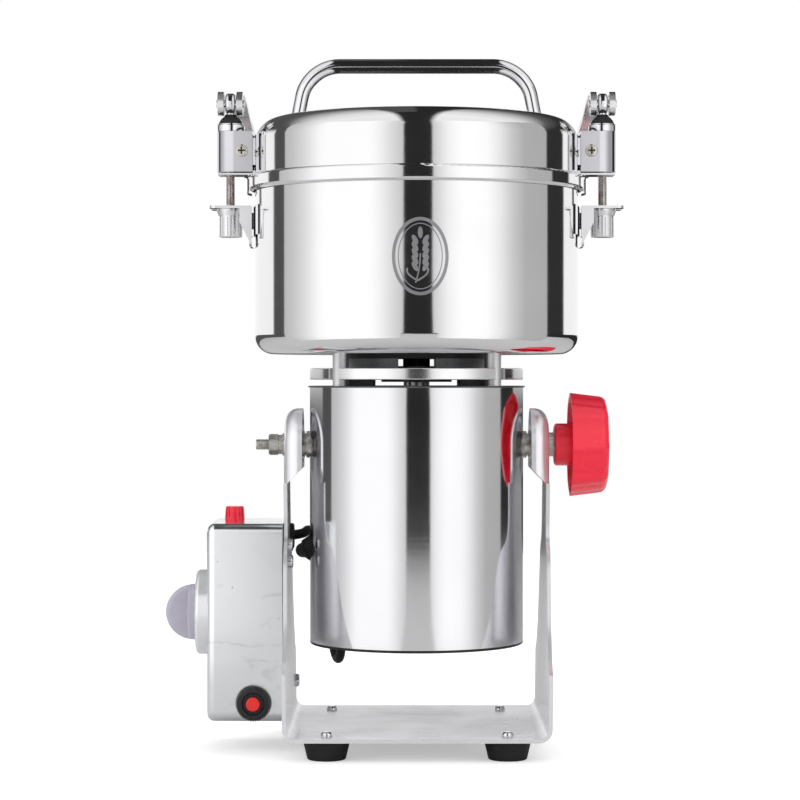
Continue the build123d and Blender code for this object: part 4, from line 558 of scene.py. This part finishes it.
def skin(mesh_data, rings, hoop=False):
    """Join rings of points, each as long as the next, and close the two ends, or join them into a hoop."""
    if hoop:
        rings = rings + [rings[0]]
    loops = [[mesh_data.verts.new(point) for point in ring] for ring in rings]
    for low, high in zip(loops, loops[1:]):
        for index in range(len(low)):
            after = (index + 1) % len(low)
            mesh_data.faces.new((low[index], low[after], high[after], high[index]))
    if not hoop:
        mesh_data.faces.new(loops[0][::-1])
        mesh_data.faces.new(loops[-1])


def polar(radius, turn):
    """Flat point at a distance and an angle in radians."""
    return radius * math.cos(turn), radius * math.sin(turn)


def circle(radius, sides):
    return [polar(radius, 2 * math.pi * step / sides) for step in range(sides)]


def thread(mesh_data, crest, root, ends, pitch, place):
    """Threaded stretch along a local Z; place puts a local point where it belongs."""
    low, high = ends
    rings = []
    for row in range(int((high - low) / pitch * THREAD_STEPS) + 1):
        z = low + row * pitch / THREAD_STEPS
        taper = min(1.0, (z - low) / pitch, (high - z) / pitch + THREAD_BLUNT)
        ring = []
        for step in range(THREAD_SIDES):
            turn = step / THREAD_SIDES
            phase = (z / pitch - turn) % 1.0
            tooth = 1 - abs(2 * phase - 1)
            radius = root + (crest - root) * tooth * taper
            ring.append(place((*polar(radius, 2 * math.pi * turn), z)))
        rings.append(ring)
    skin(mesh_data, rings)


def lathe(mesh_data, profile, sides, place):
    """Solid of revolution about a local Z from points of radius and z, with flat ends."""
    rings = [[place((x, y, z)) for x, y in circle(radius, sides)] for radius, z in profile]
    skin(mesh_data, rings)


def heading(before, after):
    """Unit vector from one flat point to another."""
    return Vector((after[0] - before[0], after[1] - before[1])).normalized()


def ribbon(mesh_data, path, width, low, high, place, hoop=False):
    """Thin band along a path of flat points; place puts a flat point and a height onto the surface."""
    rings = []
    count = len(path)
    for index, (u, v) in enumerate(path):
        before = path[index - 1] if hoop or index > 0 else path[index]
        after = path[(index + 1) % count] if hoop or index < count - 1 else path[index]
        along = heading(before, after)
        aside_u, aside_v = -along.y * width / 2, along.x * width / 2
        rings.append([
            place(u + turn * aside_u, v + turn * aside_v, height)
            for turn, height in ((-1, low), (1, low), (1, high), (-1, high))
        ])
    skin(mesh_data, rings, hoop)


def plaque(mesh_data, points, low, high, place):
    """Thin flat piece with the given outline."""
    skin(mesh_data, [[place(u, v, height) for u, v in points] for height in (low, high)])


def turned(u, v, turn):
    """Flat point turned about the origin by an angle in radians."""
    return u * math.cos(turn) - v * math.sin(turn), u * math.sin(turn) + v * math.cos(turn)


def oval(centre, half_u, half_v, turn=0.0, sides=ROUND_SIDES):
    """Points of an oval, turned by an angle in degrees."""
    points = [turned(x * half_u, y * half_v, math.radians(turn)) for x, y in circle(1.0, sides)]
    return [(centre[0] + u, centre[1] + v) for u, v in points]


# ---------------------------------------------------------------- motor lead
def lead_line():
    """Points along the lead's smooth line, in metres."""
    curve = bpy.data.curves.new("lead_line", "CURVE")
    curve.dimensions = "3D"
    curve.resolution_u = LEAD_STEPS
    spline = curve.splines.new("NURBS")
    spline.points.add(len(LEAD_ROUTE) - 1)
    for point, spot in zip(spline.points, LEAD_ROUTE):
        point.co = (*mm(*spot), 1.0)
    spline.order_u = 3
    spline.use_endpoint_u = True
    mesh = mesh_of(curve)
    line = [vertex.co.copy() for vertex in mesh.vertices]
    bpy.data.meshes.remove(mesh)
    return line


def motor_lead():
    """Rubber lead from the upright's bush, in a slack loop, to the boot on the motor."""
    line = lead_line()
    mesh_data = bmesh.new()
    side = Vector((0, 1, 0))
    rings = []
    for index, spot in enumerate(line):
        ahead = line[min(index + 1, len(line) - 1)] - line[max(index - 1, 0)]
        ahead.normalize()
        side = (side - ahead * side.dot(ahead)).normalized()
        across = ahead.cross(side)
        rings.append([spot * 1000.0 + side * x + across * y for x, y in circle(LEAD_R, LEAD_SIDES)])
    skin(mesh_data, rings)
    lead = piece_from("lead_sheath", mesh_data, MATERIALS["black_rubber"], None)
    runs = [0.0]
    for before, after in zip(line, line[1:]):
        runs.append(runs[-1] + (after - before).length)
    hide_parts("motor_lead")
    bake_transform(lead, "frame", "head", start=tuple(line[0]), end=tuple(line[-1]))
    turn_along(lead, line, runs)
    return lead, line, runs[-1]


def turn_along(lead, line, runs):
    """The looped lead turns evenly along its own length, not along the short way between its ends."""
    weights = lead.data.attributes["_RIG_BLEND"]
    for vertex, weight in zip(lead.data.vertices, weights.data):
        nearest = min(range(len(line)), key=lambda index: (line[index] - vertex.co).length_squared)
        share = (runs[nearest] / runs[-1] - LEAD_STILL) / (1.0 - 2 * LEAD_STILL)
        share = min(1.0, max(0.0, share))
        weight.value = share * share * (3 - 2 * share)


# ---------------------------------------------------------------- clamps and pivot
def eye_bolt(side):
    """Eye bolt: a rounded ring for the lever's pin, a neck and a threaded shank."""
    name = SIDES[side]
    x = side * CLAMP_X

    def place(p):
        return (x + p[0], p[1], p[2])

    mesh_data = bmesh.new()
    thread(mesh_data, ROD_CREST, ROD_ROOT, ROD_THREAD, ROD_PITCH, place)
    lathe(mesh_data, NECK, NECK_SIDES, place)
    section = []
    for step in range(EDGE_STEPS + 1):
        out, across = polar(EYE_EDGE, math.pi / 2 * step / EDGE_STEPS)
        section.append((EYE_R - EYE_EDGE + out, EYE_HALF - EYE_EDGE + across))
    section += [(EYE_BORE + BORE_EDGE, EYE_HALF), (EYE_BORE, EYE_HALF - BORE_EDGE)]
    section += [(radius, -across) for radius, across in reversed(section)]
    rings = []
    for step in range(EYE_SIDES):
        turn = 2 * math.pi * step / EYE_SIDES
        rings.append([
            (x + across, radius * math.cos(turn), EYE_Z + radius * math.sin(turn))
            for radius, across in section
        ])
    skin(mesh_data, rings, hoop=True)
    bright = MATERIALS["plated_steel"]
    bolt = piece_from(f"eye_bolt_{name}", mesh_data, bright, f"clamp_{name}")
    bolt.data.materials.append(THREAD)
    for polygon in bolt.data.polygons:
        if polygon.center.z < THREAD_END / 1000.0:
            polygon.material_index = 1
    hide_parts(f"clamp_rod_{name}")


def seat_rim(side):
    """Bright rim of the cup that a clamp rod's ball sits in, open where the rod swings out."""
    section = [
        (SEAT_INNER, SEAT_LOW), (SEAT_OUTER - SEAT_EDGE, SEAT_LOW), (SEAT_OUTER, SEAT_LOW + SEAT_EDGE),
        (SEAT_OUTER, SEAT_HIGH - SEAT_EDGE), (SEAT_OUTER - SEAT_EDGE, SEAT_HIGH),
        (SEAT_INNER + SEAT_EDGE, SEAT_HIGH), (SEAT_INNER, SEAT_HIGH - SEAT_EDGE),
    ]
    mesh_data = bmesh.new()
    rings = []
    for step in range(SEAT_STEPS + 1):
        turn = math.radians(SEAT_GAP + (360 - 2 * SEAT_GAP) * step / SEAT_STEPS)
        rings.append([
            (side * (CLAMP_X + radius * math.cos(turn)), radius * math.sin(turn), z) for radius, z in section
        ])
    skin(mesh_data, rings)
    piece_from(f"seat_rim_{SIDES[side]}", mesh_data, MATERIALS["plated_steel"], "lid")


def screw_cross(side):
    """Painted shade: dark plaques on the floor of the cross recess in a clamp housing's screw, where the
    recess lies in shade.
    """
    def place(u, v, depth):
        return (side * CROSS_X + u, -depth, CROSS_Z + v)

    mesh_data = bmesh.new()
    bar = [(u * CROSS_LONG, v * CROSS_WIDE) for u, v in ((-1, -1), (1, -1), (1, 1), (-1, 1))]
    for turn, lift in ((0.0, 0.0), (math.pi / 2, CROSS_LIFT)):
        plaque(mesh_data, [turned(u, v, turn) for u, v in bar], CROSS_FLOOR, CROSS_FACE + lift, place)
    # The dark plaques are painted shade, not a part of the screw.
    piece_from(f"screw_cross_{SIDES[side]}", mesh_data, PRINT_AND_RECESS_SHADE, "lid")


def pivot_thread():
    """The left pivot's stud, with its thread and its head inside the sleeve."""
    def place(p):
        return (-p[2], p[0], PIVOT_Z + p[1])

    mesh_data = bmesh.new()
    thread(mesh_data, STUD_R, STUD_ROOT, STUD_THREAD, STUD_PITCH, place)
    lathe(mesh_data, STUD_HEAD, ROUND_SIDES, place)
    stud = piece_from("pivot_thread", mesh_data, MATERIALS["zinc_steel"], "head")
    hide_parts("pivot_stud")


# ---------------------------------------------------------------- bowl and lid
def etched_mark():
    """Ear of grain in a double oval, etched on the front of the bowl."""
    def place(u, v, depth):
        x, y = polar(BOWL_R + depth, (u + MARK_MIDDLE) / BOWL_R)
        return (y, -x, v + MARK_Z)

    mesh_data = bmesh.new()
    surface = (MARK_LOW, MARK_HIGH, place)
    for half_width, half_height, line in MARK_OVALS:
        outline = oval((0, 0), half_width, half_height, sides=OVAL_SIDES)
        ribbon(mesh_data, outline, line, *surface, hoop=True)
    shares = [step / STALK_STEPS for step in range(STALK_STEPS + 1)]
    stalk = [(-STALK_BEND * (1 - share) ** 2, STALK_FOOT + STALK_LENGTH * share) for share in shares]
    ribbon(mesh_data, stalk, STALK_LINE, *surface)
    plaque(mesh_data, oval((0, TOP_GRAIN_Z), *TOP_GRAIN), *surface)
    for row in range(GRAIN_ROWS):
        for side in SIDES:
            centre = (side * GRAIN_ASIDE, GRAIN_TOP - GRAIN_STEP * row)
            plaque(mesh_data, oval(centre, *GRAIN, turn=-side * GRAIN_LEAN), *surface)
    shares = [step / LEAF_STEPS for step in range(LEAF_STEPS + 1)]
    for side in SIDES:
        reach = side * LEAF_REACH
        leaf = [
            (reach * math.sin(math.pi * LEAF_CURL * share) - LEAF_SHIFT, LEAF_FOOT + LEAF_RISE * share)
            for share in shares
        ]
        ribbon(mesh_data, leaf, LEAF_LINE, *surface)
    piece_from("etched_mark", mesh_data, ETCHED, "head")


def weld_bead(side):
    """Bead of weld around one foot of the lid's handle."""
    x = side * HANDLE_FOOT_X
    mesh_data = bmesh.new()
    rings = []
    for step in range(WELD_STEPS):
        turn = 2 * math.pi * step / WELD_STEPS
        u, v = polar(WELD_WIDE, turn)
        v += math.copysign(WELD_LONG, math.sin(turn)) if abs(math.sin(turn)) > WELD_ENDS else 0.0
        thick = WELD_R + WELD_RIPPLE * math.sin(WELD_RIPPLES * turn)
        rings.append([
            (x + u + out * math.cos(turn), v + out * math.sin(turn), LID_TOP + WELD_RISE + up)
            for out, up in circle(thick, WELD_SIDES)
        ])
    skin(mesh_data, rings, hoop=True)
    piece_from(f"weld_{SIDES[side]}", mesh_data, MATERIALS["zinc_steel"], "lid")


def ear_hook(side):
    """Strip that runs down from a lid ear and hooks around the hem of the skirt."""
    back = []
    for index, (radius, z) in enumerate(HOOK_LINE):
        along = heading(HOOK_LINE[max(index - 1, 0)], HOOK_LINE[min(index + 1, len(HOOK_LINE) - 1)])
        back.append((radius - along.y * HOOK_THICK, z + along.x * HOOK_THICK))
    section = [*HOOK_LINE, *reversed(back)]
    mesh_data = bmesh.new()
    rings = []
    for step in range(HOOK_STEPS + 1):
        turn = math.radians(HOOK_HALF * (2 * step / HOOK_STEPS - 1))
        rings.append([(side * radius * math.cos(turn), radius * math.sin(turn), z) for radius, z in section])
    skin(mesh_data, rings)
    piece_from(f"ear_hook_{SIDES[side]}", mesh_data, MATERIALS["plated_steel"], "lid")


# ---------------------------------------------------------------- control box
def dial_scale():
    """Minute marks and plain numbers around the timer's knob, printed on the bezel's face."""
    def place(u, v, height):
        return (BEZEL_FACE - height, -u, TIMER_Z + v)

    turns = [math.radians(90 - DIAL_TURN * minute) for minute in range(DIAL_MINUTES + 1)]
    mesh_data = bmesh.new()
    for minute, turn in enumerate(turns):
        start, width = DIAL_SHORT_MARK if minute % DIAL_LONG else DIAL_LONG_MARK
        path = [polar(radius, turn) for radius in (start, DIAL_MARK_END)]
        ribbon(mesh_data, path, width, PRINT_LOW, PRINT_HIGH, place)
    piece_from("dial_marks", mesh_data, PRINT_AND_RECESS_SHADE, "frame")
    for minute in range(0, DIAL_MINUTES + 1, DIAL_LONG):
        middle_u, middle_v = polar(DIAL_NUMBER_R, turns[minute])
        letters = bpy.data.curves.new("number", "FONT")
        letters.body = str(minute)
        letters.size = DIAL_NUMBER_SIZE
        letters.extrude = DIAL_NUMBER_DEPTH
        letters.align_x, letters.align_y = "CENTER", "CENTER"
        mesh = mesh_of(letters)
        numbers = bmesh.new()
        numbers.from_mesh(mesh)
        bpy.data.meshes.remove(mesh)
        for vertex in numbers.verts:
            u, v, depth = vertex.co
            vertex.co = place(middle_u + u, middle_v + v, depth + PRINT_LIFT)
        piece_from(f"dial_number_{minute}", numbers, PRINT_AND_RECESS_SHADE, "frame")


def ring_nut():
    """Knurled nut around the overload switch's button, with teeth that are sharper than the solid's."""
    mesh_data = bmesh.new()
    sides = NUT_STEPS * NUT_TEETH
    rings = []
    for radius, tooth, y in NUT_PROFILE:
        ring = []
        for step in range(sides):
            turn = 2 * math.pi * step / sides
            notch = NUT_TOOTH * tooth * (0.5 - 0.5 * math.cos(NUT_TEETH * turn)) ** NUT_VALLEY
            u, v = polar(radius - notch, turn)
            ring.append((NUT_X + u, y, NUT_Z + v))
        rings.append(ring)
    skin(mesh_data, rings, hoop=True)
    nut = piece_from("ring_nut", mesh_data, MATERIALS["black_plastic"], "frame")
    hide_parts("overload_ring_nut")


# ---------------------------------------------------------------- floor and light
def floor_paper():
    """Matt paper, lifted to white for the camera only, and greyer in what metal mirrors."""
    material = bpy.data.materials.new("floor_paper")
    nodes = cleared_nodes(material)
    path = nodes.node("ShaderNodeLightPath").outputs
    grey = nodes.spread(path["Is Glossy Ray"], PAPER_GREY, PAPER_MIRRORED, start=0.0, end=1.0)
    paper = nodes.node("ShaderNodeBsdfDiffuse", {"Color": grey})
    strength = nodes.calc("MULTIPLY", path["Is Camera Ray"], PAPER_LIFT)
    lift = nodes.node("ShaderNodeEmission", {"Strength": strength})
    both = nodes.node("ShaderNodeAddShader", {0: paper.outputs[0], 1: lift.outputs[0]})
    nodes.node("ShaderNodeOutputMaterial", {"Surface": both.outputs[0]})
    return material


def make_floor():
    """Plain pale floor that ends just behind the camera."""
    mesh_data = bmesh.new()
    half = FLOOR_HALF
    corners = ((-half, -half), (half, -half), (half, half), (-half, half))
    mesh_data.faces.new([mesh_data.verts.new((x, y, 0)) for x, y in corners])
    floor = object_from("floor", mesh_data, floor_paper())


def make_world():
    """Soft room: white to the camera, even for matt surfaces, and dark with a few bright parts for metal."""
    world = bpy.data.worlds.new("studio")
    SCENE.world = world
    nodes = cleared_nodes(world)
    calc, spread, flip = nodes.calc, nodes.spread, nodes.flip

    # Directions: front is 0 in azimuth, rise is above the horizon, and lean goes over the top from the front.
    way = nodes.split(nodes.node("ShaderNodeTexCoord").outputs["Generated"])
    forward = calc("MULTIPLY", way[1], -1.0)
    azimuth = calc("MULTIPLY", calc("ARCTAN2", way[0], forward), 180 / math.pi)
    rise = calc("MULTIPLY", calc("ARCSINE", way[2]), 180 / math.pi)
    lean = calc("MULTIPLY", calc("ARCTAN2", way[2], forward), 1 / math.pi)

    dark = spread(azimuth, DARK_LEVEL, DARK_LEVEL_LEFT, *DARK_LEFT)
    aside = spread(calc("ABSOLUTE", way[0]), 0.0, 1.0, *OVERHEAD_ASIDE)
    ceiling = calc("MAXIMUM", dark, calc("MULTIPLY", nodes.glow(lean, OVERHEAD), aside))
    sheet = calc("MULTIPLY", spread(rise, 0.0, 1.0, *SHEET_FOOT), spread(rise, 1.0, 0.0, *SHEET_TOP))
    sideways = calc("ABSOLUTE", calc("SUBTRACT", azimuth, SHEET_MIDDLE))
    sheet = calc("MULTIPLY", spread(sideways, 0.0, 1.0, *SHEET_SIDE), sheet)
    room = calc("ADD", calc("MULTIPLY", ceiling, flip(sheet)), sheet)

    path = nodes.node("ShaderNodeLightPath").outputs
    seen = calc("MAXIMUM", path["Is Camera Ray"], path["Is Transmission Ray"])
    mirrored = calc("MULTIPLY", room, path["Is Glossy Ray"])
    level = calc("ADD", mirrored, calc("MULTIPLY", MATT_LEVEL, flip(path["Is Glossy Ray"])))
    level = calc("ADD", calc("MULTIPLY", level, flip(seen)), seen)
    back = nodes.node("ShaderNodeBackground", {"Color": (1, 1, 1, 1), "Strength": level})
    nodes.node("ShaderNodeOutputWorld", {"Surface": back.outputs[0]})


def glow_sheet(name, stops):
    """Diffusing sheet of a soft box, with its glow by azimuth."""
    material = bpy.data.materials.new(name + "_sheet")
    nodes = cleared_nodes(material)
    spot = nodes.split(nodes.node("ShaderNodeTexCoord").outputs["Object"])
    forward = nodes.calc("MULTIPLY", spot[1], -1.0)
    azimuth = nodes.calc("ARCTAN2", nodes.calc("ABSOLUTE", spot[0]), forward)
    grey = nodes.glow(nodes.calc("DIVIDE", azimuth, math.pi), stops)
    light = nodes.node("ShaderNodeEmission", {"Color": grey, "Strength": BOX_POWER})
    nodes.node("ShaderNodeOutputMaterial", {"Surface": light.outputs[0]})
    return material


def soft_box(name, side, inner, outer, stops):
    """Curved soft box with round corners around the object, that only metal mirrors."""
    foot, top = inner
    mesh_data = bmesh.new()
    grid = []
    for row in range(BOX_ROWS + 1):
        height = BOX_LOW + (BOX_HIGH - BOX_LOW) * row / BOX_ROWS
        step = (height - BOX_NARROW_Z) / (BOX_WIDE_Z - BOX_NARROW_Z)
        start = foot + (top - foot) * min(1.0, max(0.0, step))
        inset = max(BOX_CORNER - (height - BOX_LOW), BOX_CORNER - (BOX_HIGH - height), 0.0)
        straight = math.sqrt(max(BOX_CORNER * BOX_CORNER - inset * inset, 0.0))
        cut = math.degrees((BOX_CORNER - straight) / BOX_R)
        line = []
        for column in range(BOX_COLUMNS + 1):
            turn = math.radians(start + cut + (outer - start - 2 * cut) * column / BOX_COLUMNS)
            line.append(mesh_data.verts.new((side * BOX_R * math.sin(turn), -BOX_R * math.cos(turn), height)))
        grid.append(line)
    for below, above in zip(grid, grid[1:]):
        for column in range(BOX_COLUMNS):
            mesh_data.faces.new((below[column], below[column + 1], above[column + 1], above[column]))
    box = object_from(name, mesh_data, glow_sheet(name, stops))
    box.visible_camera = False
    box.visible_diffuse = False
    box.visible_transmission = False
    box.visible_shadow = False


def make_lamp(name, place, size, power):
    """Soft lamp aimed at the object, that nothing mirrors."""
    data = bpy.data.lights.new(name, "AREA")
    data.shape = "RECTANGLE"
    data.size, data.size_y = size
    data.energy = power
    lamp = bpy.data.objects.new(name, data)
    lamp.location = place
    towards = Vector(LAMP_AIM) - Vector(place)
    lamp.rotation_euler = towards.to_track_quat("-Z", "Y").to_euler()
    lamp.visible_glossy = False
    lamp.visible_camera = False
    SCENE.collection.objects.link(lamp)


make_camera()
LEAD, LINE, LEAD_LENGTH = motor_lead()
tuple(LINE[0])
[tuple(spot) for spot in LINE]
dress_nodes()
for side in SIDES:
    eye_bolt(side)
etched_mark()
dial_scale()
pivot_thread()
ring_nut()
for side in SIDES:
    weld_bead(side)
    ear_hook(side)
    seat_rim(side)
    screw_cross(side)
make_floor()
make_world()
for box in SOFT_BOXES:
    soft_box(*box)
for lamp in LAMPS:
    make_lamp(*lamp)

SCENE.view_settings.view_transform = "Standard"
